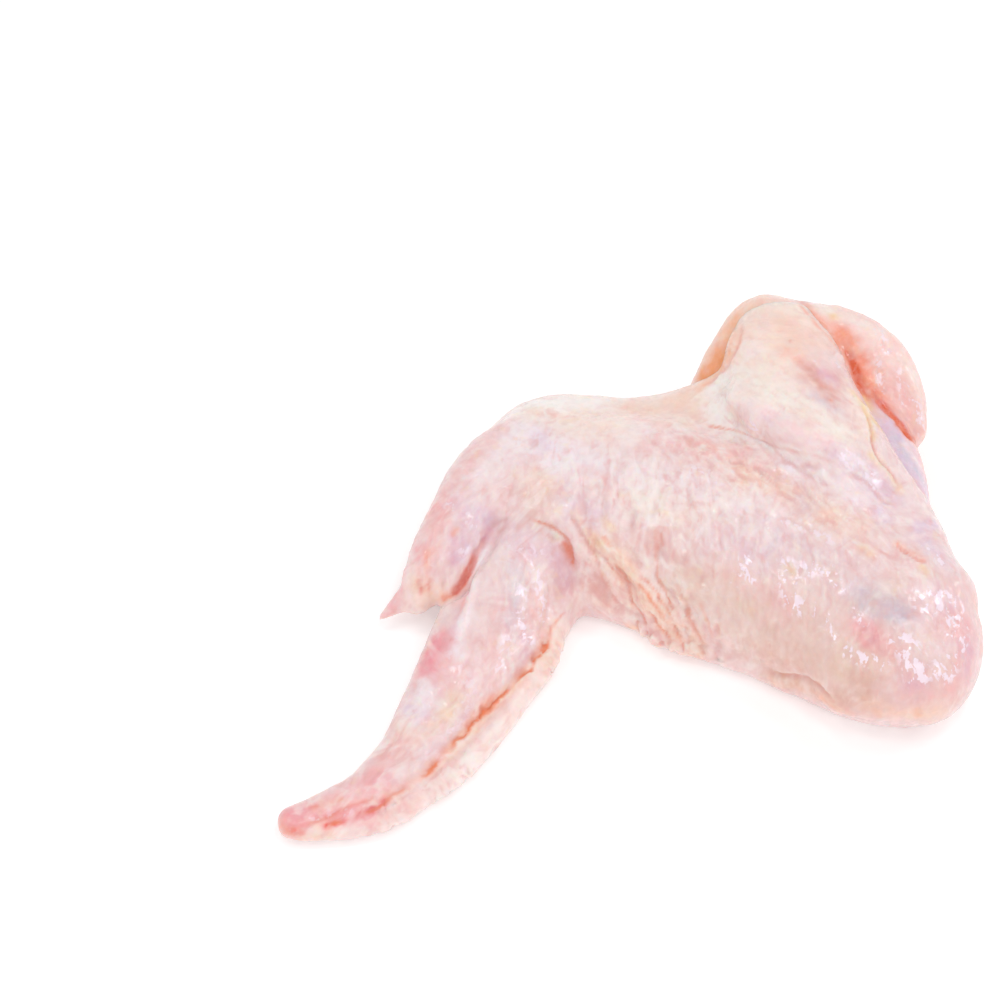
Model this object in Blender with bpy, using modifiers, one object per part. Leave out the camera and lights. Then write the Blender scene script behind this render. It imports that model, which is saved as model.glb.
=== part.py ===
"""A raw turkey wing, lying flat on its underside with the outer skin up.

Two solids make it up: the wing in its skin, and the bare muscle that bulges out
of the skin at the cut shoulder. +X points to the elbow side, +Y to the cut
shoulder, +Z up, and the origin is the centre of the footprint on the table.
Lengths below are millimetres, and Blender's units are metres.
"""

import math
from typing import NamedTuple

import bmesh
import bpy
import numpy as np
from mathutils import Matrix

MM = 0.001

# Mesh sizes
RING_SIDES = 28
STEPS_BETWEEN_SECTIONS = 6
CAP_STEPS = 5
CAP_LENGTH = 0.8
CAP_TIP = 0.02
SKIN_VOXEL = 1.6
MEAT_VOXEL = 1.6
SKIN_TRIANGLES = 8000
MEAT_TRIANGLES = 1600

# How soft the joins between limbs are: passes of smoothing at the voxel size
SKIN_SMOOTH_PASSES = 6
MEAT_SMOOTH_PASSES = 5
SMOOTH_FACTOR = 0.5

# The muscle sits in the skin with this gap all round
SOCKET_GAP = 0.45

# The share of a fold's length over which it fades in and out
FOLD_FADE = 0.12

# Folds are full on skin that faces up at least this much, and gone where it faces down this much
UP_NORMAL = 0.4
SIDE_NORMAL = -0.1

# A limb's cross-section is a superellipse, a little squarer than an ellipse
SQUARENESS = 2.25

# Points this close to the table, in metres, count as on it
TABLE_TOLERANCE = 1e-6

# Colours, in linear light, and roughness
SKIN_COLOUR = (0.87, 0.64, 0.57)
SKIN_ROUGHNESS = 0.4
MUSCLE_COLOUR = (0.86, 0.47, 0.40)
MUSCLE_ROUGHNESS = 0.35


class Section(NamedTuple):
    """One cross-section of a limb: centre, half width, half height and roll."""

    x: float
    y: float
    z: float
    half_width: float
    half_height: float
    roll: float = 0.0


class Fold(NamedTuple):
    """A line on the upper skin, seen from above, that sinks by depth, or rises if that is negative.

    The skin on the left of the path stands above the skin on its right by about the step.
    """

    path: tuple
    width: float
    depth: float
    step: float = 0.0


# The upper arm, from the elbow to the skin's end at the shoulder
UPPER_ARM = (
    Section(76, -28, 16, 19.2, 17),
    Section(72.6, -12, 17, 20, 17),
    Section(68, 5, 18, 20, 18),
    Section(61.5, 22, 20, 18, 20),
    Section(54, 38, 23, 18, 20),
    Section(48.5, 52, 28, 18, 16),
    Section(46, 64, 31.5, 17, 12.5),
    Section(45.5, 73, 33, 13.5, 10),
)

# The elbow's rounded end
ELBOW = (
    Section(62, -26, 14.5, 23, 17),
    Section(74, -30, 15, 22.5, 18),
    Section(82.8, -32.8, 15, 20.4, 16.5),
)

# The forearm, from the elbow to the wrist
FOREARM = (
    Section(79, -25, 17, 22, 17.5, -4),
    Section(64, -14, 17, 30, 18, -8),
    Section(40, 3, 16, 33, 17, -10),
    Section(14, 16, 15, 32, 15, -10),
    Section(-10, 27, 13, 28, 14, -6),
    Section(-26, 35, 12, 22, 13),
)

# The skin stretched from the wrist to the shoulder, in front of both bones
FRONT_WEB = (
    Section(-30.5, 42.5, 12, 13, 9.5),
    Section(-19.5, 47.8, 12, 16.5, 9.5),
    Section(1, 44.8, 13, 17, 10),
    Section(18, 45.8, 14, 17.5, 11),
    Section(30, 48.5, 17, 17, 13),
    Section(42, 53, 21, 16, 15),
)

# The loose skin in the bend between forearm and hand
REAR_WEB = (
    Section(-30, 3, 8, 11, 8),
    Section(-15, 6, 8, 14, 8),
    Section(4, 6.5, 8, 16, 9),
)

# The thick edge of the loose skin behind the forearm
REAR_EDGE = (
    Section(-14, -2, 5, 6, 6),
    Section(4, -9.5, 5, 6, 6),
    Section(28, -20.5, 5.5, 7, 6.5),
    Section(46, -29.5, 6, 8, 7),
    Section(64, -38.5, 7, 9, 8),
    Section(77, -41, 7.5, 9, 8),
)

# The hand, from under the wrist to its pointed tip
HAND = (
    Section(-30, 20, 10, 15, 10),
    Section(-34, -3, 9.5, 15, 9.5),
    Section(-38.5, -17.5, 8.5, 15.5, 8.5),
    Section(-45.8, -34, 7.5, 14, 7.5),
    Section(-52.5, -47, 6.5, 12.2, 6.5),
    Section(-60, -59.5, 5.5, 10, 5.8),
    Section(-71, -71, 4.7, 7.8, 4.9),
    Section(-84.5, -77.5, 4, 6, 4.2),
    Section(-93, -80, 3.5, 4.8, 3.6),
)

# The swollen rear edge of the hand, parted from it by a slit
HAND_EDGE = (
    Section(-16.4, -7.3, 5.8, 4.1, 6),
    Section(-20.3, -16, 5.6, 3.9, 5.9),
    Section(-25.5, -28, 5.4, 4.3, 6),
    Section(-32.8, -40.4, 5.1, 4.6, 5.8),
    Section(-39.3, -51.2, 4.8, 4.7, 5.6),
    Section(-47.9, -62.1, 4.4, 4.8, 5.2),
    Section(-56.6, -69.5, 4, 4.6, 4.7),
    Section(-64.8, -76.3, 3.6, 4.2, 4.3),
    Section(-76.8, -81, 3.2, 3.3, 3.6),
    Section(-89, -82.7, 2.8, 2.3, 2.8),
)

# The thumb, lying over the near edge of the hand
THUMB = (
    Section(-18, 45, 13, 16.5, 11),
    Section(-35.4, 32, 13, 15, 12),
    Section(-46.3, 16.8, 13, 11, 9.5),
    Section(-53, 5, 11, 8.9, 8),
    Section(-57.9, -4, 9, 6.9, 6),
    Section(-60, -8.5, 7.5, 4.6, 4.5),
)
THUMB_CLAW = (
    Section(-60, -4, 7, 4, 3),
    Section(-65.5, -8, 5.2, 3, 2.4),
    Section(-70.5, -12, 3.8, 1.5, 1.4),
)

# The bare muscle: its core in the skin, the bulge on the front side, the lobe folded down behind
MEAT_CORE = (
    Section(55, 30, 22, 12, 11),
    Section(51, 50, 22, 16, 14),
    Section(49, 66, 22, 20, 16),
    Section(48, 73, 24, 18, 15),
)
MEAT_BULGE = (
    Section(50, 73.5, 28.5, 9, 10),
    Section(41, 77, 29, 8, 11),
    Section(30, 68.8, 19, 6, 10),
    Section(24, 61, 13, 4.5, 7),
)
MEAT_LOBE = (
    Section(52, 75, 31, 8, 8),
    Section(65, 72.8, 29.5, 8.5, 8.5),
    Section(75.6, 66.8, 25, 8.5, 9),
    Section(80.6, 57, 20, 7.8, 8.5),
    Section(83, 47.8, 15.5, 5.8, 7),
)
MEAT_FLANK = (
    Section(66, 62, 18, 12, 14),
    Section(74, 44, 14.5, 10, 13),
    Section(77.5, 27, 15, 9, 13),
    Section(79.2, 10, 16, 7, 11),
)

# The folds of the skin
FOLDS = (
    # Between the thumb and the hand
    Fold(((-52, -12), (-48, -9), (-44, -3), (-40.5, 4), (-38, 10), (-33, 13)), 2.2, 3.5, 1.0),
    # The skin of the wrist, rolled over the root of the hand
    Fold(((-33, 13), (-22.5, 9), (-18.5, 5), (-16, -1), (-15.5, -9)), 2.4, 1.0, 1.2),
    # Wrinkles that fan out from the wrist to the rear edge
    Fold(((-16.5, 11), (-10.5, 1), (-4, -6), (1, -13)), 1.8, 1.8),
    Fold(((-9.5, 2.5), (-2.5, -4), (3, -10), (9, -17), (13, -21)), 1.6, -1.6),
    Fold(((-5, -4), (-0.5, -9.5), (3, -15)), 1.6, 1.6),
    Fold(((0, -4), (7, -12.5), (12, -18)), 1.6, 1.4),
    Fold(((7, 2), (8, -10), (11.5, -17), (18, -23)), 1.8, 1.6),
    Fold(((14, -15), (19, -22), (22, -26)), 1.8, 1.4),
    # The slit along the hand
    Fold(
        (
            (-22, -15),
            (-23.5, -27),
            (-31, -37),
            (-34, -44),
            (-44, -59),
            (-56, -71),
            (-68, -78.5),
            (-84, -82),
        ),
        1.2,
        2.2,
    ),
    # The meat that fills the valley between the forearm and the upper arm, and the crease on it
    Fold(((32, 36), (44, 28.5), (55, 20.5), (66, 12.5)), 7.0, -2.0),
    Fold(((16, 41), (29.5, 36.5), (42, 27.5), (54.5, 18.5), (66, 11), (78, 6)), 2.4, 1.2, 0.8),
)

# The row of feather sockets that ripples the rear edge
SCALLOP_ROW = ((8.6, -18.4), (28.6, -26.3))
SCALLOP_HEIGHT = 4.5
SCALLOP_RADIUS = 3.6
SCALLOP_SPACING = 6.2
SCALLOP_SIDES = 16
SCALLOP_RINGS = 10


def spline(rows, steps):
    """A smooth curve through rows of numbers, with steps points for each stretch between them."""
    rows = np.array(rows, float)
    padded = np.vstack([2 * rows[0] - rows[1], rows, 2 * rows[-1] - rows[-2]])
    found = []
    for i in range(1, len(padded) - 2):
        before, start, end, after = padded[i - 1 : i + 3]
        for t in np.arange(steps) / steps:
            found.append(
                0.5
                * (
                    2 * start
                    + (end - before) * t
                    + (2 * before - 5 * start + 4 * end - after) * t**2
                    + (3 * start - before - 3 * end + after) * t**3
                )
            )
    found.append(rows[-1])
    return np.array(found)


def ring(section, along):
    """The points of one cross-section, square to the direction along."""
    centre = section[:3]
    side = np.cross((0.0, 0.0, 1.0), along)
    side /= np.linalg.norm(side)
    lift = np.cross(along, side)
    roll = math.radians(section[5])
    across = math.cos(roll) * side + math.sin(roll) * lift
    up = math.cos(roll) * lift - math.sin(roll) * side
    angle = np.arange(RING_SIDES) * 2 * math.pi / RING_SIDES
    power = 2 / SQUARENESS
    u = np.sign(np.cos(angle)) * np.abs(np.cos(angle)) ** power
    v = np.sign(np.sin(angle)) * np.abs(np.sin(angle)) ** power
    return centre + section[3] * u[:, None] * across + section[4] * v[:, None] * up


def capped(section, outwards):
    """The shrinking sections that round off a limb beyond its last section."""
    length = CAP_LENGTH * min(section[3], section[4])
    made = []
    for i in range(1, CAP_STEPS + 1):
        turn = i / CAP_STEPS * math.pi / 2
        smaller = section.copy()
        smaller[:3] += outwards * length * math.sin(turn)
        smaller[3:5] *= max(math.cos(turn), CAP_TIP)
        made.append(smaller)
    return made


def add_limb(whole, sections):
    """Adds a closed tube through the sections, with rounded ends, to a bmesh."""
    rows = spline(sections, STEPS_BETWEEN_SECTIONS)
    along = np.gradient(rows[:, :3], axis=0)
    along /= np.linalg.norm(along, axis=1)[:, None]
    start = capped(rows[0], -along[0])[::-1]
    end = capped(rows[-1], along[-1])
    rows = np.vstack([start, rows, end])
    along = np.vstack([[along[0]] * len(start), along, [along[-1]] * len(end)])
    rings = [
        [whole.verts.new(point * MM) for point in ring(row, way)]
        for row, way in zip(rows, along)
    ]
    faces = [whole.faces.new(rings[0]), whole.faces.new(rings[-1])]
    for first, second in zip(rings, rings[1:]):
        for i in range(RING_SIDES):
            j = (i + 1) % RING_SIDES
            faces.append(whole.faces.new((first[i], first[j], second[j], second[i])))
    bmesh.ops.recalc_face_normals(whole, faces=faces)


def add_scallops(whole):
    """Adds the row of small balls along the rear edge to a bmesh."""
    start, end = (np.array(point, float) for point in SCALLOP_ROW)
    count = int(np.linalg.norm(end - start) / SCALLOP_SPACING) + 1
    for i in range(count):
        x, y = (start + (end - start) * i / (count - 1)) * MM
        bmesh.ops.create_uvsphere(
            whole,
            u_segments=SCALLOP_SIDES,
            v_segments=SCALLOP_RINGS,
            radius=SCALLOP_RADIUS * MM,
            matrix=Matrix.Translation((x, y, SCALLOP_HEIGHT * MM)),
        )


def joined(name, limbs, add_trim=None):
    """One object that holds all the limbs, and the trim if there is any, still overlapping."""
    whole = bmesh.new()
    for sections in limbs:
        add_limb(whole, sections)
    if add_trim:
        add_trim(whole)
    mesh = bpy.data.meshes.new(name)
    whole.to_mesh(mesh)
    whole.free()
    return bpy.data.objects.new(name, mesh)


def apply_modifiers(body):
    """Replaces the object's mesh by what its modifiers make of it."""
    graph = bpy.context.evaluated_depsgraph_get()
    made = bpy.data.meshes.new_from_object(body.evaluated_get(graph))
    old = body.data
    body.modifiers.clear()
    body.data = made
    bpy.data.meshes.remove(old)


def fuse(body, voxel, passes):
    """Melts the overlapping limbs into one skin, with softened joins."""
    remesh = body.modifiers.new("Fuse", "REMESH")
    remesh.mode = "VOXEL"
    remesh.voxel_size = voxel * MM
    soften = body.modifiers.new("Soften", "SMOOTH")
    soften.factor = SMOOTH_FACTOR
    soften.iterations = passes
    apply_modifiers(body)


def along_path(points, path):
    """How far each point is from the path, on which side, and at what share of its length."""
    lengths = np.linalg.norm(np.diff(path, axis=0), axis=1)
    nearest = np.full(len(points), np.inf)
    side = np.zeros(len(points))
    share = np.zeros(len(points))
    passed = 0.0
    for start, end, length in zip(path, path[1:], lengths):
        way = (end - start) / length
        offset = points - start
        ahead = np.clip(offset @ way, 0, length)
        distance = np.linalg.norm(offset - ahead[:, None] * way, axis=1)
        turn = way[0] * offset[:, 1] - way[1] * offset[:, 0]
        closer = distance < nearest
        nearest[closer] = distance[closer]
        side[closer] = np.sign(turn)[closer]
        share[closer] = (passed + ahead[closer]) / lengths.sum()
        passed += length
    return nearest, side, share


def press(body, folds):
    """Moves the upper skin in or out along each fold."""
    count = len(body.data.vertices)
    places = np.empty(count * 3)
    body.data.vertices.foreach_get("co", places)
    places = places.reshape(-1, 3)
    normals = np.array([normal.vector for normal in body.data.vertex_normals])
    faces_up = np.clip((normals[:, 2] - SIDE_NORMAL) / (UP_NORMAL - SIDE_NORMAL), 0, 1)
    moved = np.zeros(count)
    for fold in folds:
        distance, side, share = along_path(places[:, :2] / MM, np.array(fold.path, float))
        reach = distance / fold.width
        fade = np.clip(np.minimum(share, 1 - share) / FOLD_FADE, 0, 1)
        sunk = -fold.depth * np.exp(-(reach**2))
        raised = fold.step * side * reach * np.exp(-0.5 * reach**2)
        moved += (sunk + raised) * fade * faces_up * MM
    places += normals * moved[:, None]
    body.data.vertices.foreach_set("co", places.ravel())
    body.data.update()


def thin_out(body, triangles):
    """Reduces the mesh to about this many triangles, most where the form is plain."""
    faces = sum(len(face.vertices) - 2 for face in body.data.polygons)
    decimate = body.modifiers.new("Thin out", "DECIMATE")
    decimate.ratio = triangles / faces
    decimate.use_collapse_triangulate = True
    apply_modifiers(body)


def rest_on_table(body):
    """Cuts off what reaches below the table and closes the cut, which leaves flat resting places."""
    mesh = bmesh.new()
    mesh.from_mesh(body.data)
    geometry = mesh.verts[:] + mesh.edges[:] + mesh.faces[:]
    bmesh.ops.bisect_plane(
        mesh,
        geom=geometry,
        dist=TABLE_TOLERANCE,
        plane_co=(0, 0, 0),
        plane_no=(0, 0, -1),
        clear_outer=True,
    )
    rim = [edge for edge in mesh.edges if edge.is_boundary]
    bmesh.ops.holes_fill(mesh, edges=rim, sides=0)
    bmesh.ops.recalc_face_normals(mesh, faces=mesh.faces)
    mesh.to_mesh(body.data)
    mesh.free()


def dress(body, material_name, colour, roughness):
    """Gives the object its material and smooth shading."""
    material = bpy.data.materials.new(material_name)
    material.use_nodes = True
    shader = material.node_tree.nodes["Principled BSDF"]
    shader.inputs["Base Color"].default_value = (*colour, 1)
    shader.inputs["Roughness"].default_value = roughness
    shader.inputs["Metallic"].default_value = 0
    body.data.materials.append(material)
    body.data.shade_smooth()


def make_meat(parts):
    """The bare shoulder muscle."""
    meat = joined("shoulder_meat", (MEAT_CORE, MEAT_BULGE, MEAT_LOBE, MEAT_FLANK))
    parts.objects.link(meat)
    fuse(meat, MEAT_VOXEL, MEAT_SMOOTH_PASSES)
    thin_out(meat, MEAT_TRIANGLES)
    dress(meat, "raw_muscle", MUSCLE_COLOUR, MUSCLE_ROUGHNESS)
    return meat


def make_socket(cutters, meat):
    """The muscle's form with its gap added, which cuts its seat in the skin."""
    socket = bpy.data.objects.new("socket", meat.data.copy())
    cutters.objects.link(socket)
    grow = socket.modifiers.new("Gap", "DISPLACE")
    grow.strength = SOCKET_GAP * MM
    grow.mid_level = 0.0
    apply_modifiers(socket)
    socket.hide_render = True
    socket.display_type = "WIRE"
    return socket


def make_wing(parts, socket):
    """The wing in its skin, with the seat of the muscle cut out."""
    limbs = (
        UPPER_ARM,
        ELBOW,
        FOREARM,
        FRONT_WEB,
        REAR_WEB,
        REAR_EDGE,
        HAND,
        HAND_EDGE,
        THUMB,
        THUMB_CLAW,
    )
    wing = joined("wing", limbs, add_scallops)
    parts.objects.link(wing)
    fuse(wing, SKIN_VOXEL, SKIN_SMOOTH_PASSES)
    press(wing, FOLDS)
    thin_out(wing, SKIN_TRIANGLES)
    rest_on_table(wing)
    dress(wing, "raw_skin", SKIN_COLOUR, SKIN_ROUGHNESS)
    seat = wing.modifiers.new("Seat", "BOOLEAN")
    seat.operation = "DIFFERENCE"
    seat.object = socket


def new_collection(name):
    """A collection in the scene."""
    collection = bpy.data.collections.new(name)
    bpy.context.scene.collection.children.link(collection)
    return collection


def main():
    """Empties the scene and builds the wing and its bare muscle."""
    for thing in list(bpy.data.objects):
        bpy.data.objects.remove(thing)
    parts = new_collection("raw_turkey_wing")
    cutters = new_collection("cutters")
    meat = make_meat(parts)
    make_wing(parts, make_socket(cutters, meat))


main()
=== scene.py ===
"""How a raw turkey wing looks: moist pale skin over fat and muscle, and bare muscle at the cut shoulder.

Lengths are millimetres until a mesh is written. Pixels are those of the 1000 by 1000 photograph.
"""

import logging
import math
from dataclasses import dataclass
from enum import Enum

import bmesh
import bpy
import numpy as np
from mathutils import Matrix, Vector, noise
from mathutils.bvhtree import BVHTree


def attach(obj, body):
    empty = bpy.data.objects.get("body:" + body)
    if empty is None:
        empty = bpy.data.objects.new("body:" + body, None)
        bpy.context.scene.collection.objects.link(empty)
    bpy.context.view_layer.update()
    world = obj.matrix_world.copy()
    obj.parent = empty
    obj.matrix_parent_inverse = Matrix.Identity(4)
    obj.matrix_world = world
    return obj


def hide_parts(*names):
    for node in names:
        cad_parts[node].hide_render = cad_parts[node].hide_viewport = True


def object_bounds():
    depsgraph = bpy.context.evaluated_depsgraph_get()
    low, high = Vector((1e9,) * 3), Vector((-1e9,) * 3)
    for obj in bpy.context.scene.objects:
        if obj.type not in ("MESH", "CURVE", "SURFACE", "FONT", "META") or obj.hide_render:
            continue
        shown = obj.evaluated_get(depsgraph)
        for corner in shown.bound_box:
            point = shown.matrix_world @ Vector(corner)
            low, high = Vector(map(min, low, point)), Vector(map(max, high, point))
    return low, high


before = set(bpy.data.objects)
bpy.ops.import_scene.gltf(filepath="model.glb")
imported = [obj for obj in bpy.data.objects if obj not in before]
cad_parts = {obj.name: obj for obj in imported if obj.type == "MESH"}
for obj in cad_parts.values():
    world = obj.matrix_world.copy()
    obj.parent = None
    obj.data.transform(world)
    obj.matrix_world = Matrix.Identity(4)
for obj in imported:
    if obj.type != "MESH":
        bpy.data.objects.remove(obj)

CAD_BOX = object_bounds()
MM = 0.001
LOG = logging.getLogger("wing")

Pixel = tuple[float, float]
Stroke = tuple[Pixel, ...]
Socket = bpy.types.NodeSocket
Tree = bpy.types.ShaderNodeTree

# The ways that the fibres of the skin may run, in degrees anticlockwise from the picture's right.
FIBRE_TURNS = (-45.0, 0.0, 45.0, 90.0)


class Seed:
    """Where in the noise each kind of unevenness starts, so that no two are alike."""

    WANDER = 0.0
    UNEVEN = 0.5
    STAIN = 20.0
    FIBRES = 30.0
    WARP = 40.0
    RIDGES = 60.0
    LUMPS = 80.0
    FINE = 90.0


class Hue(Enum):
    """The colours that raw poultry shows, as sRGB; the tan one is its skin in shade, used as painted
    shade.
    """

    FAT = "faece4"
    BUTTER = "f4d3a0"
    SAND = "e9cdbf"
    PEACH = "f7cfbc"
    APRICOT = "f5a674"
    BLUSH = "f4c1bf"
    ROSE = "f29fa8"
    BLOOD = "dc6259"
    CHERRY = "f0605c"
    MAUVE = "e2b3c4"
    LILAC = "e4cadc"
    SLATE = "cdc2d4"
    DUSK = "e3a9a1"
    SHELL = "fbdfdb"
    CREAM = "fee6dc"
    PEARL = "f6e9ee"
    GLOW = "fff3f0"
    RUST = "e27142"
    SALMON = "f3a088"
    QUILL = "6f574d"
    EMBER = "de5a2c"
    GARNET = "d63f33"
    # Skin in shade, used as painted shade.
    TAN = "d9a794"
    PINK = "e892a2"


def linear(code: str) -> np.ndarray:
    """Turns an sRGB colour into linear light.

    Args:
        code: six hex digits, such as "f6d9cf".

    Returns:
        Red, green and blue from 0 to 1.
    """
    shares = np.array([int(code[i : i + 2], 16) / 255 for i in (0, 2, 4)])
    return np.where(shares <= 0.04045, shares / 12.92, ((shares + 0.055) / 1.055) ** 2.4)


def add_node(
    tree: Tree, kind: str, settings: dict | None = None, inputs: dict | None = None
) -> bpy.types.Node:
    """Adds a shader node with its settings, values and links.

    Args:
        tree: the node tree it goes in.
        kind: Blender's name for the node's type.
        settings: properties of the node itself.
        inputs: input name or index to a value, or to the output socket that feeds it.

    Returns:
        The new node.
    """
    node = tree.nodes.new(kind)
    for name, value in (settings or {}).items():
        setattr(node, name, value)
    for name, value in (inputs or {}).items():
        if isinstance(value, bpy.types.NodeSocket):
            tree.links.new(value, node.inputs[name])
        else:
            node.inputs[name].default_value = value
    return node


def unit(rows: np.ndarray) -> np.ndarray:
    """Scales each row to length 1."""
    return rows / np.maximum(np.linalg.norm(rows, axis=-1, keepdims=True), 1e-9)


def turned(degrees: float, right: np.ndarray, up: np.ndarray) -> tuple[np.ndarray, np.ndarray]:
    """Turns the picture's axes to a line that runs at an angle.

    Args:
        degrees: the line's angle, anticlockwise from the picture's right.
        right: the unit vector to the right.
        up: the unit vector up.

    Returns:
        The unit vectors across the line and along it.
    """
    turn = math.radians(degrees)
    across = -math.sin(turn) * right + math.cos(turn) * up
    return across, math.cos(turn) * right + math.sin(turn) * up


def falloff(distance: np.ndarray, width: float) -> np.ndarray:
    """Falls from 1 to about a third where the distance is the width."""
    return np.exp(-((distance / width) ** 2))


def noise_at(points: np.ndarray, size: float, octaves: int = 2, seed: float = 0.0) -> np.ndarray:
    """Smooth noise at each point.

    Args:
        points: places in millimetres.
        size: the size of its lumps in millimetres.
        octaves: how many layers it has, each twice as fine.
        seed: moves the pattern, so that two fields differ.

    Returns:
        One value for each point, about -1 to 1.
    """
    shifted = points / size + np.array((seed * 7.31, seed * 3.17, seed * 5.53))
    return np.array([noise.fractal(Vector(p), 1.0, 2.0, octaves) for p in shifted])


def curve_through(corners: np.ndarray, spacing: float) -> np.ndarray:
    """Draws a smooth curve through a few points.

    Args:
        corners: the points.
        spacing: the distance from one point of the curve to the next.

    Returns:
        The curve's points.
    """
    if len(corners) < 2:
        return corners
    padded = np.vstack([2 * corners[0] - corners[1], corners, 2 * corners[-1] - corners[-2]])
    made = []
    for before, start, end, after in zip(padded, padded[1:], padded[2:], padded[3:]):
        steps = max(int(np.linalg.norm(end - start) / spacing), 1)
        t = (np.arange(steps) / steps)[:, None]
        bend = (2 * before - 5 * start + 4 * end - after) * t**2
        twist = (3 * start - before - 3 * end + after) * t**3
        made.append(start + 0.5 * ((end - before) * t + bend + twist))
    return np.vstack([*made, corners[-1:]])


@dataclass(frozen=True)
class PhotoView:
    """The place that the photograph was taken from.

    The axis of the lens meets the table at the target, which is the middle of the picture.
    """

    target: tuple[float, float, float] = (-36.0, 35.5, 0.0)
    distance: float = 800.0
    elevation: float = 50.0
    pixels_per_mm: float = 3.4
    picture: float = 1000.0
    sensor: float = 36.0

    def axes(self) -> tuple[np.ndarray, np.ndarray, np.ndarray]:
        """Gives the camera's directions.

        Returns:
            The unit vectors to the right, up and forwards.
        """
        tilt = math.radians(self.elevation)
        right = np.array((1.0, 0.0, 0.0))
        up = np.array((0.0, math.sin(tilt), math.cos(tilt)))
        forwards = np.array((0.0, math.cos(tilt), -math.sin(tilt)))
        return right, up, forwards

    def place(self) -> np.ndarray:
        """Gives the camera's place in millimetres."""
        return np.array(self.target) - self.axes()[2] * self.distance

    def ray(self, pixel: Pixel) -> np.ndarray:
        """Gives the unit direction from the camera through a pixel.

        Args:
            pixel: the pixel's column and row.

        Returns:
            The direction.
        """
        right, up, forwards = self.axes()
        focal = self.pixels_per_mm * self.distance
        half = self.picture / 2
        return unit(forwards * focal + right * (pixel[0] - half) + up * (half - pixel[1]))

    def make_camera(self) -> None:
        """Makes the scene's camera."""
        data = bpy.data.cameras.new("photo_camera")
        data.sensor_width = self.sensor
        data.lens = self.sensor * self.pixels_per_mm * self.distance / self.picture
        data.clip_start = 0.05
        data.clip_end = 20.0
        right, up, forwards = (Vector(axis) for axis in self.axes())
        turn = Matrix((right, up, -forwards)).transposed().to_quaternion()
        camera = bpy.data.objects.new("photo_camera", data)
        camera.matrix_world = Matrix.LocRotScale(Vector(self.place() * MM), turn, None)
        bpy.context.scene.collection.objects.link(camera)
        bpy.context.scene.camera = camera


@dataclass(frozen=True)
class Fold:
    """A line that is pressed into a surface or raised from it.

    Attributes:
        path: the pixels that it runs through.
        width: how far to the side it falls to a third, in millimetres.
        depth: how deep the line lies, in millimetres, negative for a ridge.
        step: how much its left side stands above its right side, in millimetres.
        ragged: how far the line wanders sideways, in millimetres.
        fade: the share of its length over which each end fades out.
        redness: how red the bottom of the line is, from 0 to 1, partly its own red and partly painted
            shade.
    """

    path: Stroke
    width: float
    depth: float
    step: float = 0.0
    ragged: float = 0.3
    fade: float = 0.15
    redness: float = 0.0


@dataclass(frozen=True)
class Wash:
    """A soft stain of colour along a line or round a spot.

    Attributes:
        path: the pixels that it runs through, one for a round spot.
        width: how far to the side it falls to a third, in millimetres.
        hue: its colour, which in some washes stands for light, as painted light, painted shade or a
            painted highlight.
        strength: how much of it covers the colour below, from 0 to 1.
        side: 1 to stain only the left of the line, -1 only its right, 0 both.
    """

    path: Stroke
    width: float
    hue: Hue
    strength: float
    side: int = 0


@dataclass(frozen=True)
class Stretch:
    """A stretch that is wetter than the rest, or smoother in colour.

    Attributes:
        path: the pixels that it runs through, one for a round spot.
        width: how far to the side it falls to a third, in millimetres.
        strength: how wet or how smooth it is, from 0 to 1; the wettest get a painted highlight.
    """

    path: Stroke
    width: float
    strength: float


@dataclass(frozen=True)
class Creping:
    """A patch of fine parallel wrinkles.

    Attributes:
        path: the pixel at its middle.
        radius: how far it reaches, in millimetres.
        turn: the way that the wrinkles run, in degrees anticlockwise from the picture's right.
        spacing: from one wrinkle to the next, in millimetres.
        height: how high they stand, in millimetres.
    """

    path: Stroke
    radius: float
    turn: float
    spacing: float
    height: float


def strokes(kind: type, table: str) -> tuple:
    """Reads strokes from a table that has one on each line.

    A line gives the pixels that the stroke runs through, and after a semicolon the rest of its
    fields in their order. Where some in between keep their usual value, the later ones are named.

    Args:
        kind: the class of the strokes.
        table: the lines. Those that start with # are headings.

    Returns:
        The strokes.
    """
    made = []
    for line in table.strip().splitlines():
        if line.strip().startswith("#"):
            continue
        path, _, rest = line.partition(";")
        pixels = tuple(tuple(float(value) for value in pixel.split(",")) for pixel in path.split())
        named = dict(word.split("=") for word in rest.split() if "=" in word)
        plain = [word for word in rest.split() if "=" not in word]
        values = [Hue[word] if word.isalpha() else float(word) for word in plain]
        made.append(kind(pixels, *values, **{name: float(value) for name, value in named.items()}))
    return tuple(made)


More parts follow.
